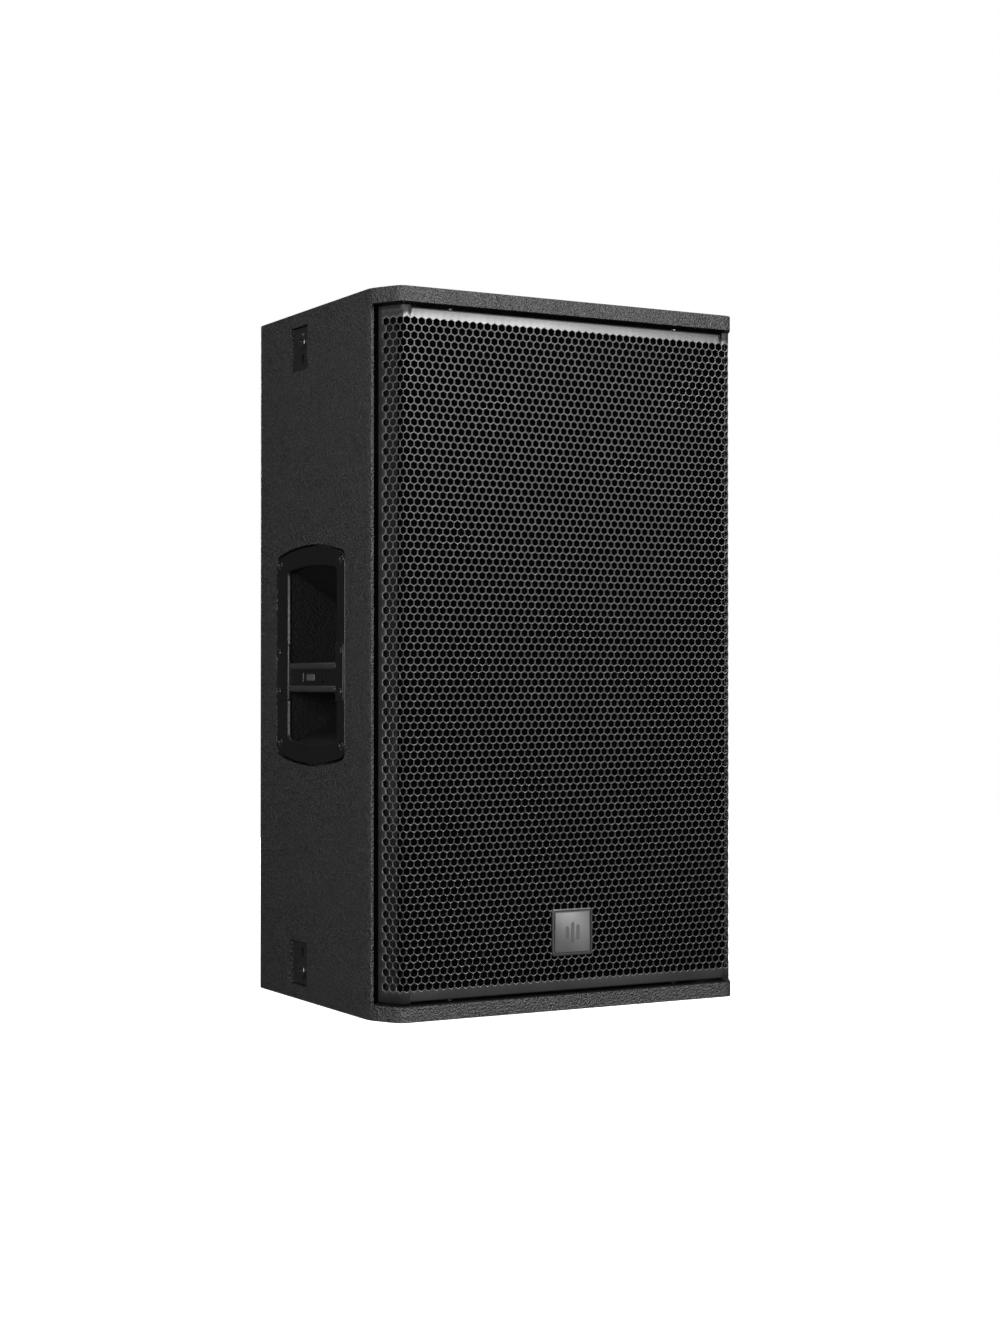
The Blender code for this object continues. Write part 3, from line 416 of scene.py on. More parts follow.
def facet_inner_x(y):
    """Where the inside of the rear facet lies, at a depth y."""
    slope = (HALF_WIDTH - REAR_HALF) / (REAR - SIDE_REAR)
    return FACET_LOW.x + (REAR - y) * slope


def arched(front, rear, low, high, rise_low, rise_high, steps=20):
    """An upright outline in Y and Z whose top and bottom bow out by their rises."""
    half = (rear - front) / 2
    middle = (rear + front) / 2
    shares = [-1 + 2 * step / steps for step in range(steps + 1)]
    lower = [(middle + half * s, low - rise_low * (1 - s * s)) for s in shares]
    upper = [(middle - half * s, high + rise_high * (1 - s * s)) for s in shares]
    return lower + upper


HANDLE_LOW, HANDLE_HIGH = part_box("right_handle_frame")
HANDLE_FACE = HANDLE_HIGH.x
HANDLE_RISE = 0.010
HANDLE_PLATE = 0.004
OPENING_FRONT = SIDE_FRONT + 0.0776
OPENING_REAR = SIDE_FRONT + 0.1949
OPENING_LOW = 0.2670
OPENING_HIGH = 0.4390
OPENING_RISE = 0.004
BAR_LOW = 0.314
BAR_HIGH = 0.346
CUP_WALL = 0.003
GROOVE = 0.0014


def handle_outline(beside=0.0, above=0.0):
    return arched(HANDLE_LOW.y - beside, HANDLE_HIGH.y + beside, HANDLE_LOW.z + HANDLE_RISE - above,
                  HANDLE_HIGH.z - HANDLE_RISE + above, HANDLE_RISE, HANDLE_RISE)


def rounded_outline(outline, radius, rounds=3, gentle=30.0):
    """Round the corners of an outline that turn by more than a gentle angle in degrees."""
    count = len(outline)
    points = []
    for index, spot in enumerate(outline):
        here = Vector(spot)
        before = Vector(outline[index - 1])
        after = Vector(outline[(index + 1) % count])
        turn = (here - before).angle(after - here)
        if turn < math.radians(gentle):
            points.append((here.x, here.y))
            continue
        back = here + (before - here).normalized() * min(radius, (before - here).length * 0.95)
        ahead = here + (after - here).normalized() * min(radius, (after - here).length * 0.95)
        for step in range(rounds + 1):
            t = step / rounds
            point = back * (1 - t) ** 2 + here * (2 * t * (1 - t)) + ahead * t ** 2
            points.append((point.x, point.y))
    return points


def shell_cutters():
    """The opening at the front, the way through the cabinet, the recess at the rear and the side pockets."""
    inner = SIDE_LOW.x
    wide = HALF_WIDTH + WALL
    slope = (HALF_WIDTH - REAR_HALF) / (REAR - SIDE_REAR)
    mitre = SIDE_REAR - (inner - facet_inner_x(SIDE_REAR)) / slope
    lip = HALF_WIDTH - SIDE_LIP
    seat = SIDE_FRONT + SIDE_REBATE
    right = [(wide, FRONT - WALL), (wide, SIDE_FRONT), (lip, SIDE_FRONT), (lip, seat), (inner, seat), (inner, mitre),
             (facet_inner_x(REAR + WALL), REAR + WALL)]
    cutters = [prism("inside", right + mirrored(right[::-1], -1), "Z", WALL, HEIGHT - WALL)]
    for name, side in SIDES:
        wall = side * HALF_WIDTH
        beyond = wall + side * WALL
        floor = side * (HANDLE_FACE - 3 * HANDLE_PLATE)
        rebate = rounded_outline(handle_outline(GROOVE, GROOVE + 0.0012), 0.010, 5)
        cutters.append(prism("rebate", rebate, "X", floor, beyond))
        spread = CUP_WALL + GAP
        hole = rectangle(OPENING_FRONT - spread, OPENING_REAR + spread,
                         OPENING_LOW - OPENING_RISE - spread, OPENING_HIGH + OPENING_RISE + spread)
        cutters.append(prism("cup_hole", hole, "X", side * (inner - WALL), beyond))
        for level in ("top", "bottom"):
            low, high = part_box(f"{name}_{level}_rigging_plate")
            plate_x = low.x if side > 0 else high.x
            margin = 0.0012
            pocket = rectangle(low.y - margin, high.y + margin, low.z - margin, high.z + margin)
            cutters.append(prism("pocket", rounded_outline(pocket, 0.0025), "X", plate_x - side * GAP, beyond))
    return cutters


def roundness(edge):
    """How far an edge of the shell is rounded, as a share of EDGE_ROUND."""
    middle = (edge.verts[0].co + edge.verts[1].co) / 2
    near = 0.0002
    if min(abs(middle.z), abs(middle.z - HEIGHT)) < near or middle.y < SIDE_FRONT - MILLIMETRE:
        return 1.0
    return 0.3 if middle.y < SIDE_FRONT + near else 0.25


def cabinet_shell():
    """The six painted panels as one coated body with no open seams."""
    right = plan_corners()
    plan = rounded_outline(right + mirrored(right[::-1], -1), CORNER_ROUND, 5, 10.0)
    shell = prism("cabinet_shell", plan, "Z", 0.0, HEIGHT)
    carve(shell, shell_cutters())
    socket_low, socket_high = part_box("pole_socket")
    middle = (socket_low + socket_high) / 2
    radius = (socket_high.x - socket_low.x) / 2 + GAP
    hole = skin("pole_hole", [circle("Z", middle.x, middle.y, along, radius, 48) for along in (-WALL, WALL * 2)])
    carve(shell, [hole])
    mesh = bmesh.new()
    mesh.from_mesh(shell.data)
    weights = mesh.edges.layers.float.new("bevel_weight_edge")
    for edge in mesh.edges:
        if edge.calc_face_angle(0.0) > math.radians(28.0):
            edge[weights] = roundness(edge)
    mesh.to_mesh(shell.data)
    mesh.free()
    bevelled(shell, EDGE_ROUND, 4, weighted=True)
    shell.data.materials.clear()
    shell.data.materials.append(PAINT)
    shell.data.shade_smooth()
    shell.data.set_sharp_from_angle(angle=math.radians(35.0))
    nodes = ["top_panel", "bottom_panel"]
    nodes += [f"{name}_{kind}_panel" for name, _ in SIDES for kind in ("side", "rear_facet")]
    return fasten(shell, replaces=nodes)


# Grille

GRILLE_FLAT = 0.1883
GRILLE_LEAN = math.radians(60.87)
GRILLE_FACET = 0.0287
GRILLE_FRONT = FRONT + 0.0006
GRILLE_BOW = 0.0050
GRILLE_THICK = 0.0010
COLUMNS = 47
FACET_COLUMNS = 3
ROWS = 93
PITCH = 2 * GRILLE_FLAT / COLUMNS
ROW_PITCH = PITCH * math.sqrt(3) / 2
BAR = 0.00105
SHEET_EDGE = HEIGHT / 2 - 0.0195
CORNER_TAB = 0.0012
LIP = 0.018
BEND = 0.0018
BORDER_TILT = 0.0022
CORNER_REACH = 0.0075


def folded(u, z):
    """A point of the flat sheet, u across and z up, on the folded and slightly pressed-in grille."""
    beyond = abs(u) - GRILLE_FLAT
    if beyond > 0.0:
        x = math.copysign(GRILLE_FLAT + beyond * math.cos(GRILLE_LEAN), u)
        return Vector((x, GRILLE_FRONT + beyond * math.sin(GRILLE_LEAN), z))
    across = 1.0 - (u / GRILLE_FLAT) ** 2
    up = max(1.0 - ((z - HEIGHT / 2) / SHEET_EDGE) ** 2, 0.0)
    return Vector((u, GRILLE_FRONT + GRILLE_BOW * across * up, z))


class Sheet:
    """A mesh whose points are shared when they lie at the same place on the flat sheet."""

    def __init__(self):
        self.mesh = bmesh.new()
        self.points = {}

    def vert(self, u, z, back=0.0):
        key = (round(u * 100000), round(z * 100000), round(back * 100000))
        if key not in self.points:
            spot = folded(u, z)
            spot.y += back
            self.points[key] = self.mesh.verts.new(spot)
        return self.points[key]

    def face(self, *corners):
        self.mesh.faces.new([self.vert(*corner) for corner in corners])


def hexagon(u, z, radius):
    """Six corners with one straight up."""
    return [(u + radius * math.cos(math.radians(30 + 60 * k)), z + radius * math.sin(math.radians(30 + 60 * k)))
            for k in range(6)]


def row_centres(row):
    """Hole centres of one row: even rows sit between the folds, odd rows have a hole on each fold."""
    if row % 2 == 0:
        count = COLUMNS + 2 * FACET_COLUMNS
    else:
        count = COLUMNS + 2 * FACET_COLUMNS - 1
    return [(index - (count - 1) / 2) * PITCH for index in range(count)]


def border_strip(sheet, near, far, way):
    """One strip of the top or bottom border: rolled back into the lip, or straight up a corner tab."""
    end = HEIGHT / 2 + way * SHEET_EDGE
    if abs(near[0] + far[0]) / 2 >= GRILLE_FLAT - CORNER_REACH:
        tab = end + way * CORNER_TAB
        sheet.face(near, far, (far[0], tab), (near[0], tab))
        return
    tilt = BORDER_TILT if way > 0 else 0.0
    chain = [(end - way * BEND, tilt)]
    for angle in (30, 60, 90):
        turn = math.radians(angle)
        chain.append((end - way * BEND * (1 - math.sin(turn)), tilt + BEND * (1 - math.cos(turn))))
    chain.append((end, LIP))
    lower = (near, far)
    for z, back in chain:
        upper = ((near[0], z, back), (far[0], z, back))
        sheet.face(lower[0], lower[1], upper[1], upper[0])
        lower = upper


def grille_rim(sheet, first_row):
    """The solid border round the holes, as strips from the outermost cells to the sheet's edges."""
    side = PITCH / math.sqrt(3)
    edge_u = GRILLE_FLAT + GRILLE_FACET
    half_rows = GRILLE_FLAT + FACET_COLUMNS * PITCH
    middle = HEIGHT / 2
    for way in (-1, 1):
        outer_row = middle + way * (ROWS - 1) / 2 * ROW_PITCH
        for u in row_centres(0):
            near = (u - PITCH / 2, outer_row + way * side / 2)
            tip = (u, outer_row + way * side)
            far = (u + PITCH / 2, outer_row + way * side / 2)
            border_strip(sheet, near, tip, way)
            border_strip(sheet, tip, far, way)
        for flank in (-1, 1):
            corner = (flank * half_rows, outer_row + way * side / 2)
            border_strip(sheet, corner, (flank * edge_u, corner[1]), way)
    for row in range(ROWS):
        z = first_row + row * ROW_PITCH
        for flank in (-1, 1):
            rim = flank * (half_rows if row % 2 == 0 else half_rows - PITCH / 2)
            low, high = z - side / 2, z + side / 2
            sheet.face((rim, low), (rim, high), (flank * edge_u, high), (flank * edge_u, low))
            if row == ROWS - 1:
                continue
            following = flank * (half_rows - PITCH / 2 if row % 2 == 0 else half_rows)
            above = z + side
            sheet.face((rim, high), (following, above), (flank * edge_u, above), (flank * edge_u, high))


def grille():
    """The perforated sheet: about 4,900 hexagonal holes, folded at two upright lines."""
    sheet = Sheet()
    outer = PITCH / math.sqrt(3)
    inner = (PITCH - BAR) / math.sqrt(3)
    first_row = HEIGHT / 2 - (ROWS - 1) / 2 * ROW_PITCH
    for row in range(ROWS):
        z = first_row + row * ROW_PITCH
        for u in row_centres(row):
            rim = hexagon(u, z, outer)
            hole = hexagon(u, z, inner)
            for k in range(6):
                following = (k + 1) % 6
                sheet.face(rim[k], rim[following], hole[following], hole[k])
    grille_rim(sheet, first_row)
    made = add_mesh("grille_sheet", sheet.mesh, GRILLE_COAT, 50.0)
    front_face = min(made.data.polygons, key=lambda face: abs(face.center.x) + abs(face.center.z - HEIGHT / 2))
    if front_face.normal.y > 0:
        made.data.flip_normals()
    solid = made.modifiers.new("thickness", "SOLIDIFY")
    solid.thickness = GRILLE_THICK
    solid.offset = -1.0
    return fasten(made, replaces=["grille"])


def grille_gaskets_as_shade():
    """Black foam strips that lie in the side panels' rebates, behind the sheet's upright edges; their black also
    stands in as painted shade for the gap beside the grille.
    """
    seat = SIDE_FRONT + SIDE_REBATE
    for name, side in SIDES:
        edges = sorted((side * (HALF_WIDTH - SIDE_LIP - GAP), side * (SIDE_LOW.x - GAP)))
        strip = rectangle(*edges, seat - 0.0030, seat - GAP)
        # The strips' near-black colour is painted shade over the rebate seat beside the grille.
        made = prism(f"{name}_grille_gasket", strip, "Z", WALL + GAP, HEIGHT - WALL - GAP, FOAM)
        fasten(made)


def badge():
    """A plain grey plate in a dark bezel, with a generic mark of three upright bars."""
    low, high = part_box("front_badge")
    middle = (low + high) / 2
    half = (high.x - low.x) / 2
    bezel_back = high.y + 0.0003
    bezel = [
        rounded_ring("Y", 0.0, middle.z, bezel_back, half + 0.0030, half + 0.0030, 0.002),
        rounded_ring("Y", 0.0, middle.z, low.y + 0.0004, half + 0.0030, half + 0.0030, 0.002),
        rounded_ring("Y", 0.0, middle.z, low.y + 0.0002, half + 0.0024, half + 0.0024, 0.0016),
        rounded_ring("Y", 0.0, middle.z, low.y + 0.0002, half + 0.0016, half + 0.0016, 0.0012),
        rounded_ring("Y", 0.0, middle.z, low.y + 0.0012, half + 0.0012, half + 0.0012, 0.0010),
    ]
    fasten(skin("badge_bezel", bezel, PLASTIC))
    plate = [
        rounded_ring("Y", 0.0, middle.z, low.y + 0.0010, half, half, 0.0014),
        rounded_ring("Y", 0.0, middle.z, low.y + 0.0003, half, half, 0.0014),
        rounded_ring("Y", 0.0, middle.z, low.y, half - 0.0004, half - 0.0004, 0.0011),
    ]
    fasten(skin("badge_plate", plate, BADGE), replaces=["front_badge"])
    for index, tall in enumerate((0.0060, 0.0100, 0.0075)):
        across = (index - 1) * 0.0062
        bar = [
            rounded_ring("Y", across, middle.z, low.y + 0.0004, 0.0017, tall, 0.0016),
            rounded_ring("Y", across, middle.z, low.y - 0.0002, 0.0017, tall, 0.0016),
            rounded_ring("Y", across, middle.z, low.y - 0.0005, 0.0013, tall - 0.0004, 0.0012),
        ]
        fasten(skin(f"badge_bar_{index + 1}", bar, BADGE))


# Screws

def screw_head(name, axis, across, up, seat, way, radius, tall, finish=SCREW, socket=0.5):
    """A domed head with a six-sided socket. way is the side it stands out to, -1 or 1."""
    count = 24
    turn = math.tau / count / 2
    rings = [
        circle(axis, across, up, seat, radius * 0.98, count, turn),
        circle(axis, across, up, seat + way * tall * 0.35, radius, count, turn),
        circle(axis, across, up, seat + way * tall * 0.75, radius * 0.90, count, turn),
        circle(axis, across, up, seat + way * tall, radius * (0.5 + socket / 2), count, turn),
    ]
    for along in (seat + way * tall, seat + way * tall * 0.3):
        points = []
        for index in range(count):
            angle = math.tau * index / count + turn
            corner = math.radians(60.0)
            reach = math.cos(corner / 2) / math.cos((angle % corner) - corner / 2)
            size = radius * socket * reach
            points.append(place(axis, across + size * math.cos(angle), up + size * math.sin(angle), along))
        rings.append(points)
    return skin(name, rings, finish, smooth_angle=30.0)


# Side handles

SCREW_FRONT = SIDE_FRONT + 0.0654
SCREW_REAR = SIDE_FRONT + 0.2152
CORNER_SCREWS = (0.2627, 0.4473)
PAD_SCREWS = (0.3160, 0.3560)
PAD_LOW = 0.3055
PAD_HIGH = 0.3645
PAD_PROUD = 0.0007
PAD_ROUND = 0.0016
RAIL_CENTRES = (0.3184, 0.3414)
RIM_ROUND = 0.0028


def handle_frame(name, side):
    """The plate round the cup, with one rolled-over opening behind the grip and countersunk corner screws."""
    face = side * HANDLE_FACE
    back = face - side * HANDLE_PLATE
    plate = prism(f"{name}_handle_plate", rounded_outline(handle_outline(), 0.010, 5), "X", face, back)
    opening = arched(OPENING_FRONT, OPENING_REAR, OPENING_LOW, OPENING_HIGH, OPENING_RISE, OPENING_RISE)
    tools = [prism("opening", rounded_outline(opening, 0.006, 5), "X", back - side * WALL, face + side * WALL)]
    for level in CORNER_SCREWS:
        for spot in (SCREW_FRONT, SCREW_REAR):
            rings = [circle("X", spot, level, face - side * depth, radius, 24)
                     for depth, radius in ((0.0020, 0.0038), (-0.0010, 0.0050))]
            tools.append(skin("countersink", rings))
    carve(plate, tools)
    mesh = bmesh.new()
    mesh.from_mesh(plate.data)
    weights = mesh.edges.layers.float.new("bevel_weight_edge")
    for edge in mesh.edges:
        if edge.calc_face_angle(0.0) < math.radians(40.0):
            continue
        middle = (edge.verts[0].co + edge.verts[1].co) / 2
        inside = (OPENING_FRONT - MILLIMETRE < middle.y < OPENING_REAR + MILLIMETRE
                  and OPENING_LOW - 0.006 < middle.z < OPENING_HIGH + 0.006)
        edge[weights] = 1.0 if inside and abs(middle.x - face) < GAP else 0.3
    mesh.to_mesh(plate.data)
    mesh.free()
    plate.data.materials.clear()
    plate.data.materials.append(CAST)
    bevelled(plate, RIM_ROUND, 4, weighted=True)
    fasten(plate, replaces=[f"{name}_handle_frame"])
    ends = (("front", SCREW_FRONT), ("rear", SCREW_REAR))
    for row, level in enumerate(CORNER_SCREWS):
        for end, spot in ends:
            head = screw_head(f"{name}_handle_screw_{end}_{row + 1}", "X", spot, level, face - side * 0.0019,
                              side, 0.0034, 0.0018)
            fasten(head)
    for row, level in enumerate(PAD_SCREWS):
        for end, spot in ends:
            head = screw_head(f"{name}_grip_screw_{end}_{row + 1}", "X", spot, level, face + side * 0.0005,
                              side, 0.0034, 0.0012)
            fasten(head)


def grip_pads(name, side):
    """The grip's two flanges, which lie on the plate at the sides of the opening."""
    face = side * HANDLE_FACE
    spans = (("front", HANDLE_LOW.y + 0.0022, OPENING_FRONT + 0.0012),
             ("rear", OPENING_REAR - 0.0012, HANDLE_HIGH.y - 0.0022))
    for end, near, far in spans:
        middle_y = (near + far) / 2
        middle_z = (PAD_LOW + PAD_HIGH) / 2
        half_y = (far - near) / 2
        half_z = (PAD_HIGH - PAD_LOW) / 2
        rings = [rounded_ring("X", middle_y, middle_z, face - side * 0.0035, half_y, half_z, 0.0024)]
        for step in range(6):
            angle = math.radians(18.0 * step)
            inset = PAD_ROUND * (1 - math.cos(angle))
            along = face + side * (PAD_PROUD - PAD_ROUND * (1 - math.sin(angle)))
            rings.append(rounded_ring("X", middle_y, middle_z, along, half_y - inset, half_z - inset,
                                      0.0024 - inset))
        fasten(skin(f"{name}_grip_flange_{end}", rings, CAST))


def grip_bar(name, side):
    """The grip: an oval bar across the opening, its face a little below the plate's."""
    face = side * HANDLE_FACE
    half = (BAR_HIGH - BAR_LOW) / 2
    middle = (BAR_HIGH + BAR_LOW) / 2
    shallow = 0.0018
    deep = 0.0205
    rings = []
    for y in (OPENING_FRONT + 2 * GAP, (OPENING_FRONT + OPENING_REAR) / 2, OPENING_REAR - 2 * GAP):
        points = []
        for index in range(40):
            angle = math.tau * index / 40
            power = 0.35 if math.cos(angle) > 0 else 0.75
            out = math.copysign(abs(math.cos(angle)) ** power, math.cos(angle))
            up = math.copysign(abs(math.sin(angle)) ** power, math.sin(angle))
            depth = (shallow + deep) / 2 - (deep - shallow) / 2 * out
            points.append(Vector((face - side * depth, y, middle + half * up)))
        rings.append(points)
    fasten(skin(f"{name}_grip_bar", rings, CAST, smooth_angle=60.0))


def grip_rails(name, side):
    """Two rounded rails along the grip's face, each with a rounded front end."""
    face = side * HANDLE_FACE
    start = OPENING_FRONT + 0.0033
    stop = OPENING_REAR - 0.0014
    shares = ((0.0, 0.05), (0.0006, 0.45), (0.0016, 0.75), (0.0034, 1.0))
    spots = [(start + offset, share) for offset, share in shares] + [(stop, 1.0)]
    for row, centre in enumerate(RAIL_CENTRES):
        rings = []
        for y, share in spots:
            points = []
            for index in range(20):
                angle = math.tau * index / 20
                depth = 0.0022 - 0.0019 * share * math.cos(angle)
                points.append(Vector((face - side * depth, y, centre + 0.0033 * share * math.sin(angle))))
            rings.append(points)
        fasten(skin(f"{name}_grip_rail_{row + 1}", rings, BAR_COAT, smooth_angle=60.0))


def nameplate(name, side):
    """A dark blank plate on the grip, with a lighter grey strip at its rear end that is a painted highlight, and a
    plain grey field.
    """
    low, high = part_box(f"{name}_handle_nameplate")
    middle = (low + high) / 2
    half_y = (high.y - low.y) / 2
    half_z = (high.z - low.z) / 2
    floor = low.x if side > 0 else high.x
    rings = [
        rounded_ring("X", middle.y, middle.z, floor - side * 0.0004, half_y, half_z, 0.0012),
        rounded_ring("X", middle.y, middle.z, floor + side * 0.0004, half_y, half_z, 0.0012),
        rounded_ring("X", middle.y, middle.z, floor + side * 0.0006, half_y - 0.0012, half_z - 0.0003, 0.0010),
    ]
    plate = skin(f"{name}_blank_nameplate", rings, CAST)
    fasten(plate, replaces=[f"{name}_handle_nameplate"])
    # The lighter grey end strip is a painted highlight on the plate's rear edge; the field is a plain grey label.
    details = (("end", high.y - 0.0022, middle.z, 0.0006, half_z - 0.0010),
               ("field", middle.y + 0.0030, middle.z, 0.0095, 0.0032))
    for part, y, z, wide, tall in details:
        rings = [rounded_ring("X", y, z, floor + side * along, wide - inset, tall - inset, 0.0004)
                 for along, inset in ((0.0004, 0.0), (0.0009, 0.0), (0.0011, 0.0002))]
        fasten(skin(f"{name}_nameplate_{part}", rings, BADGE if part == "end" else LABEL))


# Rigging points

def rigging(name, side):
    for level in ("top", "bottom"):
        bolt = f"{name}_{level}_rigging_bolt"
        low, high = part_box(bolt)
        middle = (low + high) / 2
        plate_low, plate_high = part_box(f"{name}_{level}_rigging_plate")
        seat = plate_high.x if side > 0 else plate_low.x
        radius = (high.z - low.z) / 2
        washer = [
            circle("X", middle.y, middle.z, seat, radius + 0.0014, 32),
            circle("X", middle.y, middle.z, seat + side * 0.0004, radius + 0.0014, 32),
            circle("X", middle.y, middle.z, seat + side * 0.0006, radius + 0.0011, 32),
        ]
        fasten(skin(f"{name}_{level}_rigging_washer", washer, SCREW))
        head = screw_head(f"{name}_{level}_rigging_screw", "X", middle.y, middle.z, seat + side * 0.0006,
                          side, radius, 0.0021, SCREW, 0.42)
        fasten(head, replaces=[bolt])


# Rear panel pieces

PLATE_LOW, PLATE_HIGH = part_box("amplifier_plate")
PLATE_FACE = PLATE_HIGH.y


def plate_screws():
    inset = 0.007
    columns = (PLATE_LOW.x + inset, 0.0, PLATE_HIGH.x - inset)
    rows = [PLATE_LOW.z + inset + (PLATE_HIGH.z - PLATE_LOW.z - 2 * inset) * share / 4 for share in range(5)]
    index = 0
    for row, z in enumerate(rows):
        for x in columns:
            if x == 0.0 and 0 < row < len(rows) - 1:
                continue
            index += 1
            fasten(screw_head(f"amplifier_plate_screw_{index}", "Y", x, z, PLATE_FACE, 1, 0.0038, 0.0022))


def connector_detail(node, finish, pins, ring_finish):
    """Contacts, a bright inner ring and two flange screws on a panel connector."""
    low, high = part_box(node)
    middle = (low + high) / 2
    face = high.y
    bore = 0.0086
    tube = [
        circle("Y", middle.x, middle.z, face - 0.0070, bore, 32),
        circle("Y", middle.x, middle.z, face + 0.0006, bore, 32),
        circle("Y", middle.x, middle.z, face + 0.0010, bore + 0.0005, 32),
        circle("Y", middle.x, middle.z, face + 0.0006, bore + 0.0012, 32),
        circle("Y", middle.x, middle.z, face - 0.0002, bore + 0.0012, 32),
        circle("Y", middle.x, middle.z, face - 0.0002, bore + 0.0006, 32),
    ]
    fasten(skin(f"{node}_ring", tube, ring_finish))
    for index in range(pins):
        angle = math.tau * index / pins + math.pi / 2
        x = middle.x + 0.0045 * math.cos(angle)
        z = middle.z + 0.0045 * math.sin(angle)
        contact = [
            circle("Y", x, z, face - 0.0075, 0.0011, 12),
            circle("Y", x, z, face - 0.0022, 0.0011, 12),
            circle("Y", x, z, face - 0.0016, 0.0007, 12),
        ]
        fasten(skin(f"{node}_contact_{index + 1}", contact, finish))
    for way in (-1, 1):
        x = middle.x - way * 0.0095
        z = middle.z + way * 0.0120
        fasten(screw_head(f"{node}_screw_{'lower' if way < 0 else 'upper'}", "Y", x, z, face, 1, 0.0020, 0.0012))


def level_knob():
    """A ribbed knob with a white pointer line."""
    low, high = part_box("level_knob")
    middle_x = (low.x + high.x) / 2
    middle_z = (low.z + high.z) / 2
    base = PLATE_FACE + 0.0006
    top = high.y
    radius = (high.x - low.x) / 2
    ribs = 18
    count = ribs * 4
    levels = ((base, 1.0, 0.0), (base + 0.0026, 1.0, 0.0), (base + 0.0032, 0.90, 0.05), (top - 0.0012, 0.82, 0.05),
              (top - 0.0003, 0.78, 0.03), (top, 0.72, 0.0), (top - 0.0004, 0.60, 0.0))
    rings = []
    for along, share, rib in levels:
        points = []
        for index in range(count):
            angle = math.tau * index / count
            size = radius * (share - rib * (0.5 + 0.5 * math.cos(ribs * angle)))
            points.append(place("Y", middle_x + size * math.cos(angle), middle_z + size * math.sin(angle), along))
        rings.append(points)
    fasten(skin("level_knob_cap", rings, PLASTIC), "level_knob_group", ["level_knob"])
    pointer = prism("level_knob_pointer", rectangle(middle_x - 0.0005, middle_x + 0.0005,
                    middle_z + radius * 0.25, middle_z + radius * 0.74), "Y", top - 0.0006, top + 0.0001, INK)
    bevelled(pointer, 0.0001)
    fasten(pointer, "level_knob_group")
    for tick in range(11):
        angle = math.radians(-150.0 + 30.0 * tick)
        out = Vector((math.sin(angle), math.cos(angle)))
        across = Vector((out.y, -out.x)) * 0.0003
        centre = Vector((middle_x, middle_z))
        near = centre + out * (radius + 0.0020)
        far = centre + out * (radius + (0.0045 if tick % 5 == 0 else 0.0036))
        outline = [near - across, near + across, far + across, far - across]
        mark = prism(f"level_scale_tick_{tick + 1}", [(point.x, point.y) for point in outline], "Y",
                     PLATE_FACE, PLATE_FACE + 0.00008, INK)
        fasten(mark)


def power_rocker():
    """The rocker with a moulded line at one end."""
    low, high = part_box("power_rocker")
    middle = (low + high) / 2
    half_x = (high.x - low.x) / 2
    half_z = (high.z - low.z) / 2
    steps = 10
    section = [(-0.0040, -half_z + 0.0010)]
    for step in range(steps + 1):
        share = -1 + 2 * step / steps
        section.append((0.0030 + 0.0012 * share * share, half_z * share))
    section.append((-0.0040, half_z - 0.0010))
    outline = [(PLATE_FACE + along, middle.z + up) for along, up in section]
    rocker = prism("power_rocker_paddle", outline, "X", middle.x - half_x, middle.x + half_x, PLASTIC)
    bevelled(rocker, 0.0004, 2, 40.0)
    fasten(rocker, "power_rocker_cap", ["power_rocker"])
    line = prism("power_rocker_line", rectangle(middle.x - 0.0004, middle.x + 0.0004, middle.z + 0.0040,
                 middle.z + 0.0068), "Y", PLATE_FACE + 0.0030, PLATE_FACE + 0.0037, INK)
    fasten(bevelled(line, 0.0001), "power_rocker_cap")


def finish_nodes():
    """Better materials and softened edges for the CAD nodes that stay visible."""
    looks = {
        "painted": (PLYWOOD, ["front_baffle"]),
        "rear": (PAINT, ["rear_panel"]),
        "foam": (FOAM, ["grille_foam"]),
        "grille_screws": (SCREW, [f"grille_screw_{level}_{name}" for level in ("top", "bottom") for name, _ in SIDES]),
        "basket": (BASKET, ["woofer_basket"]),
        "paper": (PAPER, ["woofer_cone", "woofer_dust_cap"]),
        "coil": (COPPER, ["woofer_voice_coil"]),
        "steel": (STEEL, ["woofer_top_plate", "woofer_pole_piece", "hf_driver_housing"]),
        "ferrite": (FERRITE, ["woofer_magnet"]),
        "foil": (FOIL, ["hf_diaphragm"]),
        "horn": (HORN, ["horn", "hf_rear_cap", "left_reflex_port", "right_reflex_port"]),
        "cups": (CUP_WITH_SHADE, ["left_handle_cup", "right_handle_cup"]),
        "rigging": (DARK_STEEL, [f"{name}_{level}_rigging_plate" for name, _ in SIDES for level in ("top", "bottom")]
                    + ["pole_socket"]),
        "plate": (ANODISED, ["amplifier_plate", "heat_sink"]),
        "boards": (BOARD, ["amplifier_board", "power_supply_board"]),
        "nickel": (NICKEL, ["input_socket", "link_socket", "input_latch"]),
        "blue": (BLUE, ["power_inlet"]),
        "plastic": (PLASTIC, ["power_outlet", "preset_button", "power_rocker_housing"]),
        "lens": (LENS_GREEN, ["status_light"]),
    }
    softened = {"rear_panel": 0.0015, "amplifier_plate": 0.0006, "heat_sink": 0.0005, "input_latch": 0.0005,
                "left_handle_cup": 0.0014, "right_handle_cup": 0.0014, "power_rocker_housing": 0.0004, "preset_button": 0.0004, "status_light": 0.0003}
    for finish, nodes in looks.values():
        for node in nodes:
            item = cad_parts[node]
            item.data.materials.clear()
            item.data.materials.append(finish)
            if node in softened:
                bevelled(item, softened[node])
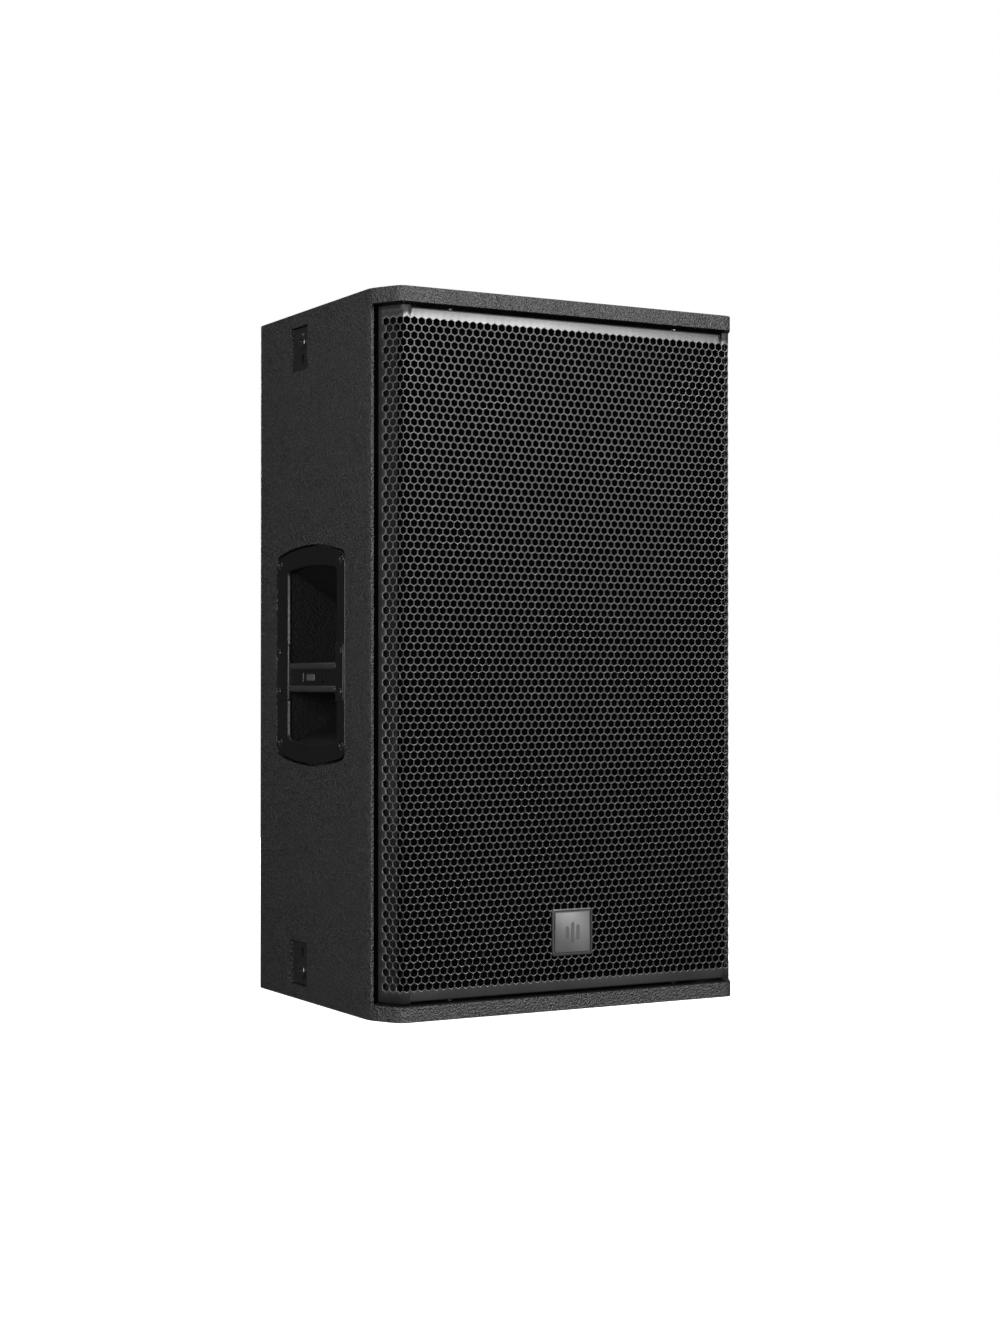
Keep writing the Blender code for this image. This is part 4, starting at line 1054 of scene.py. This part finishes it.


# Woofer rings that bend in the speaker, cut into wedges

def flexing_ring(node, finish, wedges):
    """A ring cut into wedges, one piece each; in the speaker its inside moves with the cone and its outside stays on
    the basket.
    """
    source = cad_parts[node]
    low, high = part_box(node)
    centre = (low + high) / 2
    half = math.pi / wedges
    for index in range(wedges):
        turn = half * (2 * index + 1)
        outward = Vector((math.cos(turn), 0.0, math.sin(turn)))
        mesh = bmesh.new()
        mesh.from_mesh(source.data)
        mesh.transform(source.matrix_world)
        others = []
        for face in mesh.faces:
            spot = face.calc_center_median() - centre
            spot.y = 0.0
            if spot.angle(outward) > half:
                others.append(face)
        bmesh.ops.delete(mesh, geom=others, context="FACES")
        wedge = add_mesh(f"{node}_wedge_{index + 1}", mesh, finish)
        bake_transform(wedge)
        if index == 0:
            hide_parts(node)


# Stage, lights and camera

def area_light(name, at, aim, size, power, colour=(1.0, 1.0, 1.0)):
    lamp = bpy.data.lights.new(name, "AREA")
    lamp.shape = "RECTANGLE"
    lamp.size = size[0]
    lamp.size_y = size[1]
    lamp.energy = power
    lamp.color = colour
    item = bpy.data.objects.new(name, lamp)
    item.location = at
    item.rotation_euler = (Vector(aim) - Vector(at)).to_track_quat("-Z", "Y").to_euler()
    bpy.context.scene.collection.objects.link(item)


def studio():
    """A white floor and backdrop that light nothing themselves, and five softboxes."""
    finish = Surface("floor_paint", (0.80, 0.80, 0.80), 0.8)
    finish.mottle(3.0, 0.01)
    finish.shader.inputs["Emission Color"].default_value = (1.0, 1.0, 1.0, 1.0)
    finish.shader.inputs["Emission Strength"].default_value = 0.72
    floor = prism("floor", rectangle(-2.4, 2.4, -2.2, 2.2), "Z", -0.02, 0.0, finish.material)
    floor.visible_diffuse = False
    floor.visible_glossy = False
    world = bpy.data.worlds.new("studio")
    world.use_nodes = True
    tree = world.node_tree
    shade = tree.nodes["Background"]
    shade.inputs["Color"].default_value = (1.0, 1.0, 1.0, 1.0)
    path = tree.nodes.new("ShaderNodeLightPath")
    level = tree.nodes.new("ShaderNodeMapRange")
    level.inputs["To Min"].default_value = 0.06
    level.inputs["To Max"].default_value = 1.0
    tree.links.new(path.outputs["Is Camera Ray"], level.inputs["Value"])
    tree.links.new(level.outputs["Result"], shade.inputs["Strength"])
    bpy.context.scene.world = world
    bpy.context.scene.view_settings.view_transform = "Standard"
    middle = (0.0, FRONT, HEIGHT / 2)
    area_light("front_softbox", (0.95, -2.75, 1.5), middle, (1.2, 1.4), 165.0)
    area_light("side_strip", (-2.9, -0.45, 0.35), middle, (0.5, 1.2), 54.0)
    area_light("edge_strip", (-1.75, -2.75, 0.9), middle, (0.35, 1.6), 74.0)
    area_light("rear_softbox", (0.9, 3.0, 1.2), middle, (1.2, 1.4), 46.0)
    area_light("overhead", (0.0, 0.3, 3.2), (0.0, 0.0, 0.0), (4.5, 4.5), 90.0)


def camera():
    lens = bpy.data.cameras.new("camera")
    lens.lens = LENS
    lens.sensor_width = 36.0
    lens.clip_end = 60.0
    item = bpy.data.objects.new("camera", lens)
    item.location = CAMERA_AT
    item.rotation_euler = (math.radians(90.0 + CAMERA_TILT), 0.0, -math.radians(CAMERA_TURN))
    bpy.context.scene.collection.objects.link(item)
    bpy.context.scene.camera = item


camera()
cabinet_shell()
grille()
grille_gaskets_as_shade()
badge()
for side_name, side_sign in SIDES:
    handle_frame(side_name, side_sign)
    grip_pads(side_name, side_sign)
    grip_bar(side_name, side_sign)
    grip_rails(side_name, side_sign)
    nameplate(side_name, side_sign)
    rigging(side_name, side_sign)
plate_screws()
connector_detail("input_socket", NICKEL, 3, PLASTIC)
connector_detail("link_socket", NICKEL, 3, PLASTIC)
connector_detail("power_inlet", NICKEL, 3, BLUE)
connector_detail("power_outlet", NICKEL, 3, PLASTIC)
level_knob()
power_rocker()
finish_nodes()
flexing_ring("woofer_surround", SURROUND, 16)
flexing_ring("woofer_spider", SPIDER, 12)
studio()
